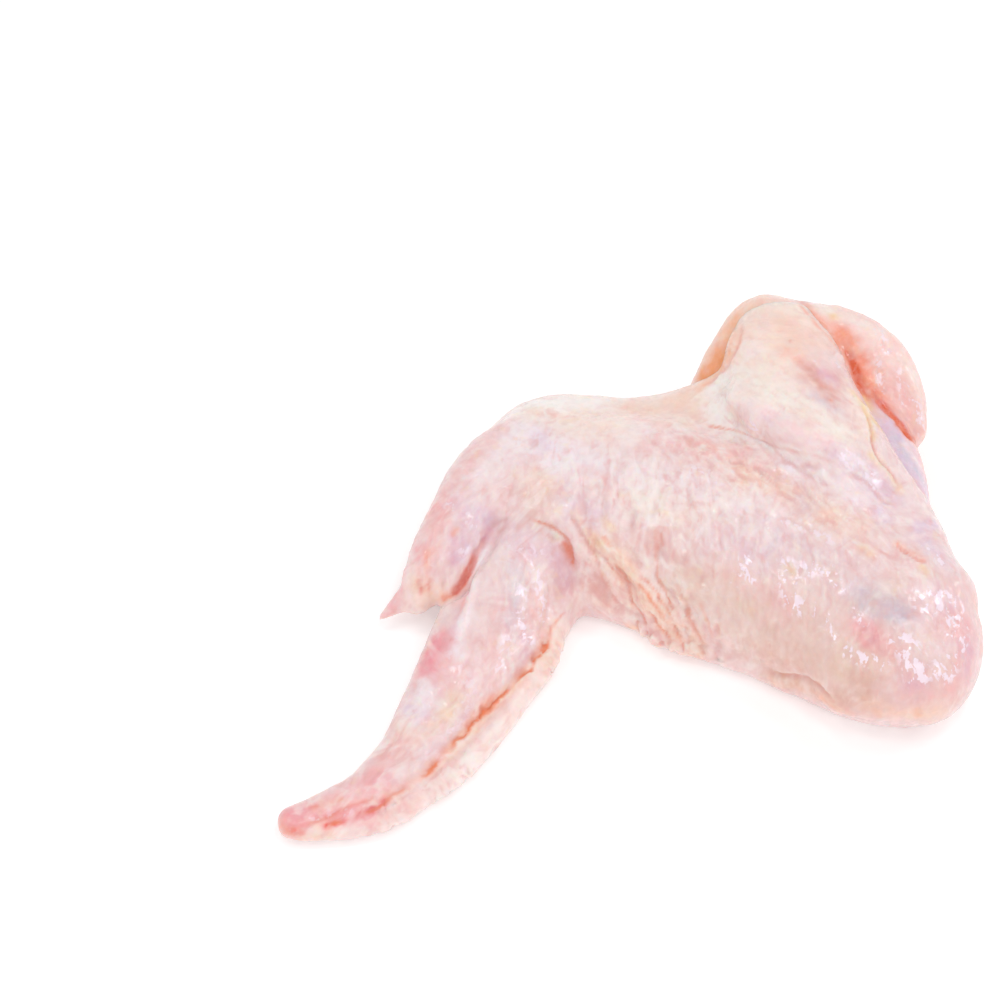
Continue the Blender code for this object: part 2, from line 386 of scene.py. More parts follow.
class Surface:
    """A fine mesh over a CAD node that is carved and painted, then written as a piece.

    Attributes:
        WELD: how close two corners of the solid are when they are one, in millimetres.
        MARBLING: how much of the pattern of fat and blood shows where nothing calms it.
        FIBRE_PATCH: how large the patches are in which the fibres run alike, in millimetres.
        FIBRE_CONTRAST: how clearly one way of the fibres wins over the others there.
        FOLD_REACH: how many widths away from its line a fold ends.
        WANDER_SIZE: how long the bends of a ragged fold are, in millimetres.
        FOLD_PATCH: how long its deeper and shallower stretches are, in millimetres.
        FOLD_CHANGE: how much the depth changes from one to the next.
        CREPE_REACH: how many radii away from its middle a patch of wrinkles ends.
        WRINKLE_LENGTH: how many times longer than wide a wrinkle is.
        WAVINESS: how far a wrinkle wanders sideways, in spacings.
        WAVE_SIZE: how long its bends are, in spacings.
        RIDGE_SHARE: how much of a patch's height its ridges take.
        FINER: how many times finer the painted pattern is than the wrinkles.
        CREPED_FIBRES: how strongly the fibres run along the wrinkles of such a patch.
        STAIN_REACH: how many widths away from its line a stain ends.
        STAIN_GRAIN: the size of a stain's smallest patches, in millimetres.
        PATCHINESS: how much a stain's strength changes from patch to patch.
        WET_REACH: how many widths away from its line a wet or smooth stretch ends.
        view: the camera whose pixels the folds and washes use.
        piece: the object that it is made on.
        start: where the vertices lay before anything moved them, in millimetres.
        points: the vertices, in millimetres.
        normals: their normals.
        tint: their linear colours.
        redness: how much red shows at each, from 0 to 1, partly the creases' own red and partly painted
            shade in them.
        wet_gloss_and_glint: how much water lies on each, from 0 to 1, which gives its gloss and, where
            high, a painted highlight.
        marbling: how much the pattern of fat and blood shows at each, from 0 to 1.
        streaks: the fine pattern that follows the wrinkles, about -1 to 1.
        lie: how much the fibres at each run in each of FIBRE_TURNS.
    """

    WELD = 0.001
    MARBLING = 0.8
    FIBRE_PATCH = 20.0
    FIBRE_CONTRAST = 3.0
    FOLD_REACH = 4
    WANDER_SIZE = 3.5
    FOLD_PATCH = 7.0
    FOLD_CHANGE = 0.35
    CREPE_REACH = 1.7
    WRINKLE_LENGTH = 3.0
    WAVINESS = 0.7
    WAVE_SIZE = 2.5
    RIDGE_SHARE = 0.65
    FINER = 1.7
    CREPED_FIBRES = 5.0
    STAIN_REACH = 2.4
    STAIN_GRAIN = 2.0
    PATCHINESS = 0.6
    WET_REACH = 2

    def __init__(self, node: str, voxel: float, passes: int, base: str, view: PhotoView) -> None:
        """Covers a CAD node with an even fine mesh.

        Args:
            node: the CAD node's name.
            voxel: the new mesh's grain in millimetres.
            passes: how many times its facets are smoothed.
            base: the sRGB colour that it starts with.
            view: the camera whose pixels the folds and washes use.
        """
        self.view = view
        self.piece = self._covered(node, voxel, passes)
        self._read()
        faces = [tuple(face.vertices) for face in self.piece.data.polygons]
        self._tree = BVHTree.FromPolygons([Vector(p) for p in self.points], faces)
        self._edges = np.array([edge.vertices[:] for edge in self.piece.data.edges])
        self.start = self.points.copy()
        self.tint = np.tile(linear(base), (len(self.points), 1))
        self.redness = np.zeros(len(self.points))
        self.wet_gloss_and_glint = np.zeros(len(self.points))
        self.marbling = np.full(len(self.points), self.MARBLING)
        self.streaks = np.zeros(len(self.points))
        seeds = [Seed.FIBRES + number for number in range(len(FIBRE_TURNS))]
        fields = [noise_at(self.points, self.FIBRE_PATCH, 1, seed) for seed in seeds]
        self.lie = np.exp(self.FIBRE_CONTRAST * np.stack(fields, 1))

    def _covered(self, node: str, voxel: float, passes: int) -> bpy.types.Object:
        """Makes the fine mesh object.

        Args:
            node: the CAD node's name.
            voxel: the new mesh's grain in millimetres.
            passes: how many times its facets are smoothed.

        Returns:
            The object, with its modifiers applied.
        """
        mesh = bmesh.new()
        mesh.from_mesh(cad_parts[node].data)
        bmesh.ops.remove_doubles(mesh, verts=mesh.verts, dist=self.WELD * MM)
        bmesh.ops.recalc_face_normals(mesh, faces=mesh.faces)
        cover = bpy.data.meshes.new(f"{node}_cover")
        mesh.to_mesh(cover)
        mesh.free()
        piece = bpy.data.objects.new(f"{node}_surface", cover)
        bpy.context.scene.collection.objects.link(piece)
        remesh = piece.modifiers.new("Even", "REMESH")
        remesh.mode = "VOXEL"
        remesh.voxel_size = voxel * MM
        soften = piece.modifiers.new("Soften", "SMOOTH")
        soften.factor = 0.5
        soften.iterations = passes
        finished = piece.evaluated_get(bpy.context.evaluated_depsgraph_get())
        fine = bpy.data.meshes.new_from_object(finished)
        piece.modifiers.clear()
        piece.data = fine
        bpy.data.meshes.remove(cover)
        return piece

    def _read(self) -> None:
        """Reads the vertices and normals back from the mesh."""
        mesh = self.piece.data
        flat = np.empty(len(mesh.vertices) * 3)
        mesh.vertices.foreach_get("co", flat)
        self.points = flat.reshape(-1, 3) / MM
        mesh.vertex_normals.foreach_get("vector", flat)
        self.normals = flat.reshape(-1, 3).copy()

    def _put(self, points: np.ndarray) -> None:
        """Puts the vertices at new places, in millimetres."""
        self.piece.data.vertices.foreach_set("co", (points * MM).ravel())
        self.piece.data.update()
        self._read()

    def move(self, lift: np.ndarray) -> None:
        """Moves each vertex along its normal, by a length in millimetres."""
        self._put(self.points + self.normals * lift[:, None])

    def trace(self, path: Stroke, spacing: float = 2.0) -> tuple[np.ndarray, np.ndarray]:
        """Lays a line of pixels on the surface.

        Args:
            path: the pixels.
            spacing: pixels from one point to the next.

        Returns:
            The points that it touches, in millimetres, and the surface's normals there.
        """
        eye = Vector(self.view.place())
        pixels = curve_through(np.array(path, float), spacing)
        hits = [self._tree.ray_cast(eye, Vector(self.view.ray(pixel))) for pixel in pixels]
        found = [hit for hit in hits if hit[0] is not None]
        points = np.array([hit[0] for hit in found]).reshape(-1, 3)
        return points, np.array([hit[1] for hit in found]).reshape(-1, 3)

    def along(self, path: Stroke, reach: float) -> tuple[np.ndarray, ...]:
        """Measures the vertices near a line of pixels against it.

        Args:
            path: the pixels.
            reach: the farthest distance that counts, in millimetres.

        Returns:
            The vertices' indices, their distance, their signed distance to the left, and their share
            of the line's length.
        """
        line, normals = self.trace(path)
        if len(line) == 0:
            return np.zeros(0, int), np.zeros(0), np.zeros(0), np.zeros(0)
        inside = (self.start > line.min(0) - reach) & (self.start < line.max(0) + reach)
        which = np.nonzero(inside.all(1))[0]
        spots = self.start[which]
        ways = unit(np.gradient(line, axis=0)) if len(line) > 1 else np.zeros_like(line)
        distance = np.full(len(which), np.inf)
        left = np.zeros(len(which))
        share = np.zeros(len(which))
        for i, (point, side) in enumerate(zip(line, np.cross(normals, ways))):
            offset = spots - point
            gap = np.linalg.norm(offset, axis=1)
            closer = gap < distance
            distance[closer] = gap[closer]
            left[closer] = (offset @ side)[closer]
            share[closer] = i / max(len(line) - 1, 1)
        keep = distance < reach
        return which[keep], distance[keep], left[keep], share[keep]

    def fold(self, folds: tuple[Fold, ...]) -> None:
        """Presses folds into the surface and raises ridges from it.

        Args:
            folds: the folds.
        """
        lift = np.zeros(len(self.points))
        for number, one in enumerate(folds):
            which, distance, left, share = self.along(one.path, one.width * self.FOLD_REACH)
            spots = self.start[which]
            wander = one.ragged * noise_at(spots, self.WANDER_SIZE, 2, number + Seed.WANDER)
            reach = np.abs(distance + wander * np.sign(left)) / one.width
            changes = noise_at(spots, self.FOLD_PATCH, 1, number + Seed.UNEVEN)
            fade = np.clip(np.minimum(share, 1 - share) / one.fade, 0, 1) if one.fade else 1.0
            hollow = falloff(reach, 1.0) * (1 + self.FOLD_CHANGE * changes) * fade
            ramp = ((left + wander) / one.width) * np.exp(-0.5 * reach**2) * fade
            lift[which] += one.step * ramp - one.depth * hollow
            # The bottom of the fold is painted red: partly its own colour, partly painted shade.
            red = np.clip(hollow, 0, 1) ** 1.5 * one.redness
            self.redness[which] = np.maximum(self.redness[which], red)
        self.move(lift)

    def lean_on(self, node: str, reach: float, height: float) -> None:
        """Lifts the surface beside another node, so that the two meet without a gap.

        Args:
            node: the other CAD node's name.
            reach: how far away from it the lift falls to a third, in millimetres.
            height: the lift where they touch, in millimetres.
        """
        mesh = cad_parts[node].data
        faces = [tuple(face.vertices) for face in mesh.polygons]
        other = BVHTree.FromPolygons([vertex.co / MM for vertex in mesh.vertices], faces)
        gaps = np.array([other.find_nearest(Vector(point))[3] for point in self.start])
        self.move(height * falloff(gaps, reach))

    def crepe(self, patches: tuple[Creping, ...]) -> None:
        """Wrinkles the surface in patches of fine parallel lines.

        Args:
            patches: the patches.
        """
        right, up, _ = self.view.axes()
        lift = np.zeros(len(self.points))
        for number, one in enumerate(patches):
            which, distance, _, _ = self.along(one.path, one.radius * self.CREPE_REACH)
            spots = self.start[which]
            fade = falloff(distance, one.radius)
            across, lengthwise = turned(one.turn, right, up)
            bends = noise_at(spots, one.spacing * self.WAVE_SIZE, 2, number + Seed.WARP)
            length = one.spacing * self.WRINKLE_LENGTH
            sideways = (spots @ across) / one.spacing + self.WAVINESS * bends
            stretched = np.stack([sideways, (spots @ lengthwise) / length, spots[:, 2] / length], 1)
            # Noise has sharp crests where it is folded over at zero.
            ridges = 0.6 - 1.8 * np.abs(noise_at(stretched, 1.0, 2, number + Seed.RIDGES))
            lift[which] += self.RIDGE_SHARE * one.height * ridges * fade
            finest = noise_at(stretched * self.FINER, 1.0, 2, number + Seed.FINE)
            fine = 0.5 * ridges + 1.2 * finest
            self.streaks[which] += fine * fade
            turns = [math.radians(one.turn) - math.radians(way) for way in FIBRE_TURNS]
            likeness = np.array([abs(math.cos(turn)) ** 8 for turn in turns])
            self.lie[which] += self.CREPED_FIBRES * fade[:, None] * likeness / likeness.sum()
        self.move(lift)

    def roughen(self, layers: tuple[tuple[float, float], ...]) -> None:
        """Makes the whole surface uneven.

        Args:
            layers: the size of each layer's lumps and how high they stand, in millimetres.
        """
        lift = np.zeros(len(self.points))
        for number, (size, height) in enumerate(layers):
            lift += height * noise_at(self.start, size, 2, number + Seed.LUMPS)
        self.move(lift)

    def _paint(self, hue: Hue, share: np.ndarray, which: np.ndarray | slice = slice(None)) -> None:
        """Lays a colour over the surface's own.

        Args:
            hue: the colour.
            share: how much of it covers each vertex, from 0 to 1.
            which: the vertices' indices, all of them where it is left out.
        """
        cover = share[:, None]
        self.tint[which] = self.tint[which] * (1 - cover) + linear(hue.value) * cover

    def wash(self, washes: tuple[Wash, ...]) -> None:
        """Stains the surface.

        Args:
            washes: the marks of colour, the later ones on top, some of them painted light and shade.
        """
        for number, one in enumerate(washes):
            which, distance, left, _ = self.along(one.path, one.width * self.STAIN_REACH)
            spots = self.start[which]
            patchy = noise_at(spots, max(one.width * 0.7, self.STAIN_GRAIN), 3, number + Seed.STAIN)
            share = one.strength * falloff(distance, one.width) * (1 + self.PATCHINESS * patchy)
            if one.side:
                frayed = self.PATCHINESS * noise_at(spots, self.STAIN_GRAIN, 2, number)
                share *= np.clip(one.side * left + 0.5 + frayed, 0, 1)
            self._paint(one.hue, np.clip(share, 0, 1), which)

    def wet(self, everywhere: float, gleams: tuple[Stretch, ...]) -> None:
        """Lays water on the surface.

        Args:
            everywhere: how wet all of it is, from 0 to 1.
            gleams: the stretches that are wetter, which also get painted highlights.
        """
        self.wet_gloss_and_glint = np.maximum(self.wet_gloss_and_glint, everywhere)
        for one in gleams:
            which, distance, _, _ = self.along(one.path, one.width * self.WET_REACH)
            share = one.strength * falloff(distance, one.width)
            self.wet_gloss_and_glint[which] = np.maximum(self.wet_gloss_and_glint[which], share)

    def calm(self, stretches: tuple[Stretch, ...]) -> None:
        """Takes the pattern of fat and blood away where the skin is smooth.

        Args:
            stretches: the smooth stretches.
        """
        for one in stretches:
            which, distance, _, _ = self.along(one.path, one.width * self.WET_REACH)
            self.marbling[which] *= 1 - one.strength * falloff(distance, one.width)

    def streak(self, valley: Hue, crest: Hue, strength: float) -> None:
        """Colours the fine pattern that follows the wrinkles.

        Args:
            valley: the colour of its low parts.
            crest: the colour of its high parts.
            strength: how much of them covers the colour below, from 0 to 1.
        """
        for hue, share in ((valley, -self.streaks), (crest, self.streaks)):
            self._paint(hue, strength * self.marbling * np.clip(share, 0, 1))

    def hollows(self, rounds: int) -> np.ndarray:
        """Measures how far each vertex lies below its neighbourhood.

        Args:
            rounds: how wide the neighbourhood is, in rings of neighbours.

        Returns:
            The depth in millimetres, negative on a crest.
        """
        ends, others = self._edges.ravel(), self._edges[:, ::-1].ravel()
        count = np.maximum(np.bincount(ends, minlength=len(self.points)), 1)[:, None]
        average = self.points.copy()
        for _ in range(rounds):
            sums = [np.bincount(ends, average[others, axis], len(average)) for axis in range(3)]
            average = 0.5 * average + 0.5 * np.stack(sums, 1) / count
        return np.einsum("ij,ij->i", average - self.points, self.normals)

    def shade_by_relief(self, relief: np.ndarray, valley: Hue, crest: Hue, strength: float) -> None:
        """Colours the bottoms of wrinkles and their crests.

        Args:
            relief: each vertex's depth, where 1 and -1 show fully.
            valley: the colour in the valleys, partly their own and partly painted shade.
            crest: the colour on the crests, partly their own and partly painted light.
            strength: how much of them covers the colour below, from 0 to 1.
        """
        depth = np.clip(relief, -1, 1)
        # Darker in the hollows and paler on the crests: partly the fat and blood, partly painted shade
        # and light.
        self._paint(valley, strength * np.maximum(depth, 0))
        self._paint(crest, strength * np.maximum(-depth, 0))

    def write(self, name: str, material: bpy.types.Material) -> bpy.types.Object:
        """Holds the surface inside the CAD's box, writes its colours and names the piece.

        Args:
            name: the piece's name.
            material: its material.

        Returns:
            The piece.
        """
        low, high = (tuple(value / MM for value in corner) for corner in CAD_BOX)
        self._put(np.clip(self.points, low, high))
        mesh = self.piece.data
        colours = mesh.color_attributes.new("tint", "FLOAT_COLOR", "POINT")
        colours.data.foreach_set("color", np.c_[self.tint, np.ones(len(self.tint))].ravel())
        for field in ("redness", "wet_gloss_and_glint", "marbling"):
            mesh.attributes.new(field, "FLOAT", "POINT").data.foreach_set("value", getattr(self, field))
        shares = self.lie / self.lie.sum(1, keepdims=True)
        lie = mesh.attributes.new("lie", "FLOAT_VECTOR", "POINT")
        lie.data.foreach_set("vector", shares[:, :3].ravel())
        mesh.materials.clear()
        mesh.materials.append(material)
        mesh.shade_smooth()
        self.piece.name = name
        mesh.name = name
        return self.piece


@dataclass(frozen=True)
class Band:
    """A share that rises over a range of a pattern.

    Attributes:
        pattern: the pattern's name.
        start: the pattern's value where the share starts to rise from 0.
        end: where it gets to its most.
        most: the largest share.
    """

    pattern: str
    start: float
    end: float
    most: float = 1.0


@dataclass(frozen=True)
class MoistSkin:
    """Raw poultry skin, plucked and wet, over fat and muscle.

    Thin skin lets light in a few millimetres, which softens its shading and warms its creases. Small
    lumps of fat under it make it cloudy, and the water on it gives small broken highlights: real ones
    in its gloss, and painted ones, pale flecks laid into its colour where it is wettest. The sizes
    are those of real lumps, strands and drops, in millimetres.

    Attributes:
        name: the material's name.
        fat: the sRGB colour of fat under the skin.
        flush: that of blood under it.
        yolk: that of its yellow flecks.
        crease_red_and_shade: that of the bottoms of its folds, partly their own red and partly painted
            shade.
        painted_glint_colour: that of the wet film where it would catch light, painted into the colour as
            a highlight.
        cloudiness: how much the lumps of fat and the blood between them show.
        roughness: 0.3 to 0.5 is usual for moist skin.
        refraction: the index of refraction, 1.4 for tissue.
        scatter_depth: how far light gets in.
        depth_share: how much of the light comes from inside.
        lump_size: the size of the lumps of fat.
        fleck_size: the size of the yellow flecks.
        fleck_strength: how much those show.
        strand_width: how wide a strand of the skin's pattern is, with its gap.
        strand_stretch: how many times longer than wide it is.
        strand_strength: how much the strands' colours show.
        strand_depth: how high the strands and the grain stand.
        pore_size: the size of the grain.
        film_width: how wide a ripple of the wet film is.
        film_depth: how high it stands.
        drop_size: the size of the patches that the film breaks into.
        painted_glint_strength: how much of that painted highlight shows where the skin is wettest.
    """

    name: str = "raw_turkey_skin"
    fat: str = "fdf1ee"
    flush: str = "e3a5a2"
    yolk: str = "f7d79c"
    crease_red_and_shade: str = "f1824f"
    painted_glint_colour: str = "fdeaf6"
    cloudiness: float = 0.2
    roughness: float = 0.38
    refraction: float = 1.4
    scatter_depth: float = 3.0
    depth_share: float = 0.5
    lump_size: float = 7.0
    fleck_size: float = 4.5
    fleck_strength: float = 0.22
    strand_width: float = 3.6
    strand_stretch: float = 2.6
    strand_strength: float = 0.6
    strand_depth: float = 0.6
    pore_size: float = 1.1
    film_width: float = 1.9
    film_depth: float = 0.35
    drop_size: float = 3.0
    painted_glint_strength: float = 0.85

    def make(self) -> bpy.types.Material:
        """Builds the material.

        Returns:
            The material.
        """
        material = bpy.data.materials.new(self.name)
        material.use_nodes = True
        tree = material.node_tree
        tree.nodes.clear()
        field = self._fields(tree)
        film = {0: field["drops"], 1: 0.5, 2: field["ripples"]}
        field["film"] = add_node(tree, "ShaderNodeMath", {"operation": "MULTIPLY_ADD"}, film).outputs[0]
        bands = {
            "cloudy": Band("lumps", 0.5, 0.66, self.cloudiness),
            "rosy": Band("lumps", 0.48, 0.3, self.cloudiness),
            "crests": Band("strands", 0.5, 0.64, self.strand_strength),
            "valleys": Band("strands", 0.48, 0.34, self.strand_strength),
            "yellow": Band("flecks", 0.6, 0.74, self.fleck_strength),
            "broken": Band("film", 0.775, 0.81),
            "beads": Band("film", 0.7, 0.8),
            # Painted highlight: where the skin is wettest, its colour turns to the film's pale colour.
            "painted_glint_where_wet": Band("wet_gloss_and_glint", 0.55, 0.9, self.painted_glint_strength),
        }
        self._show(tree, field, bands)
        # The film's painted highlight colour and its real gloss show only where it is whole and the skin
        # is wet.
        for name, parts in (("painted_glint_share", ("painted_glint_where_wet", "broken")), ("coat", ("wet_gloss_and_glint", "beads"))):
            factors = {index: field[part] for index, part in enumerate(parts)}
            field[name] = add_node(tree, "ShaderNodeMath", {"operation": "MULTIPLY"}, factors).outputs[0]
        self._show(tree, field, {"deep": Band("painted_glint_share", self.painted_glint_strength, 0.0, self.depth_share)})
        colour = field["tint"]
        layers = {
            "cloudy": self.fat,
            "rosy": self.flush,
            "crests": self.fat,
            "valleys": self.flush,
            "yellow": self.yolk,
            "marbling": None,
            "redness": self.crease_red_and_shade,
            # The painted highlight, laid into the colour.
            "painted_glint_share": self.painted_glint_colour,
        }
        for share, above in layers.items():
            # The marbling lays all that is below it over the plain tint.
            mixed = {6: colour, 7: (*linear(above), 1.0)} if above else {6: field["tint"], 7: colour}
            mixed[0] = field[share]
            colour = add_node(tree, "ShaderNodeMix", {"data_type": "RGBA"}, mixed).outputs[2]
        grain = {0: field["strands"], 1: 3.0, 2: field["grain"]}
        heights = {
            "Normal": (
                add_node(tree, "ShaderNodeMath", {"operation": "MULTIPLY_ADD"}, grain).outputs[0],
                0.5,
                self.strand_depth * MM / 3,
            ),
            "Coat Normal": (field["film"], 1.0, self.film_depth * MM),
        }
        values = {
            "Base Color": colour,
            "Roughness": self.roughness,
            "IOR": self.refraction,
            "Subsurface Weight": field["deep"],
            "Subsurface Radius": (1.0, 0.4, 0.25),
            "Subsurface Scale": self.scatter_depth * MM,
            "Coat Weight": field["coat"],
            "Coat Roughness": 0.06,
            "Coat IOR": 1.6,
        }
        for name, (height, strength, distance) in heights.items():
            relief = {"Height": height, "Strength": strength, "Distance": distance}
            values[name] = add_node(tree, "ShaderNodeBump", {}, relief).outputs["Normal"]
        settings = {"subsurface_method": "RANDOM_WALK"}
        shader = add_node(tree, "ShaderNodeBsdfPrincipled", settings, values).outputs["BSDF"]
        add_node(tree, "ShaderNodeOutputMaterial", {}, {"Surface": shader})
        return material

    def _fields(self, tree: Tree) -> dict[str, Socket]:
        """Adds what the surface's vertices say, and the patterns of the finish.

        Args:
            tree: the node tree.

        Returns:
            Their names and sockets. Patterns go from about 0.2 to 0.8.
        """
        place = add_node(tree, "ShaderNodeTexCoord").outputs["Object"]
        field = {}
        kinds = {"redness": "Fac", "wet_gloss_and_glint": "Fac", "marbling": "Fac", "tint": "Color"}
        for name, kind in kinds.items():
            told = add_node(tree, "ShaderNodeAttribute", {"attribute_name": name})
            field[name] = told.outputs[kind]
        speckles = {
            "lumps": (self.lump_size, 4.0),
            "flecks": (self.fleck_size, 2.0),
            "drops": (self.drop_size, 3.0),
            "grain": (self.pore_size, 2.0),
        }
        for name, (size, detail) in speckles.items():
            values = {"Vector": place, "Scale": 1 / (size * MM), "Detail": detail, "Roughness": 0.6}
            field[name] = add_node(tree, "ShaderNodeTexNoise", {}, values).outputs["Fac"]
        field["strands"] = self._strands(tree, place, self.strand_width)
        field["ripples"] = self._strands(tree, place, self.film_width)
        return field

    def _show(self, tree: Tree, field: dict[str, Socket], bands: dict[str, Band]) -> None:
        """Adds the shares that rise over ranges of the patterns.

        Args:
            tree: the node tree.
            field: the patterns' sockets, to which the shares are added.
            bands: each share's name and range.
        """
        for name, band in bands.items():
            limits = {
                "Value": field[band.pattern],
                "From Min": band.start,
                "From Max": band.end,
                "To Min": 0.0,
                "To Max": band.most,
            }
            field[name] = add_node(tree, "ShaderNodeMapRange", {"clamp": True}, limits).outputs["Result"]

    def _strands(self, tree: Tree, place: Socket, width: float) -> Socket:
        """Adds a pattern of strands, which run the way that each vertex says.

        Args:
            tree: the node tree.
            place: the socket of the coordinates.
            width: how wide a strand and its gap are, in millimetres.

        Returns:
            The pattern's socket, about 0.2 to 0.8.
        """
        lie = add_node(tree, "ShaderNodeAttribute", {"attribute_name": "lie"}).outputs["Vector"]
        shares = list(add_node(tree, "ShaderNodeSeparateXYZ", {}, {0: lie}).outputs)
        dot = {"operation": "DOT_PRODUCT"}
        # The last way's share is what the three others leave.
        summed = {0: lie, 1: (1.0, 1.0, 1.0)}
        given = add_node(tree, "ShaderNodeVectorMath", dot, summed).outputs["Value"]
        rest = {0: 1.0, 1: given}
        shares.append(add_node(tree, "ShaderNodeMath", {"operation": "SUBTRACT"}, rest).outputs[0])
        right, up, depth = PhotoView().axes()
        total = 0.0
        for degrees, share in zip(FIBRE_TURNS, shares):
            across, lengthwise = turned(degrees, right, up)
            parts = {}
            for index, axis in enumerate((across, lengthwise / self.strand_stretch, depth / 2)):
                pair = {0: place, 1: tuple(axis)}
                parts[index] = add_node(tree, "ShaderNodeVectorMath", dot, pair).outputs["Value"]
            values = {
                "Vector": add_node(tree, "ShaderNodeCombineXYZ", {}, parts).outputs[0],
                "Scale": 1 / (width * MM),
                "Detail": 2.0,
                "Roughness": 0.45,
                "Distortion": 1.2,
            }
            pattern = add_node(tree, "ShaderNodeTexNoise", {}, values).outputs["Fac"]
            woven = {0: pattern, 1: share, 2: total}
            total = add_node(tree, "ShaderNodeMath", {"operation": "MULTIPLY_ADD"}, woven).outputs[0]
        return total


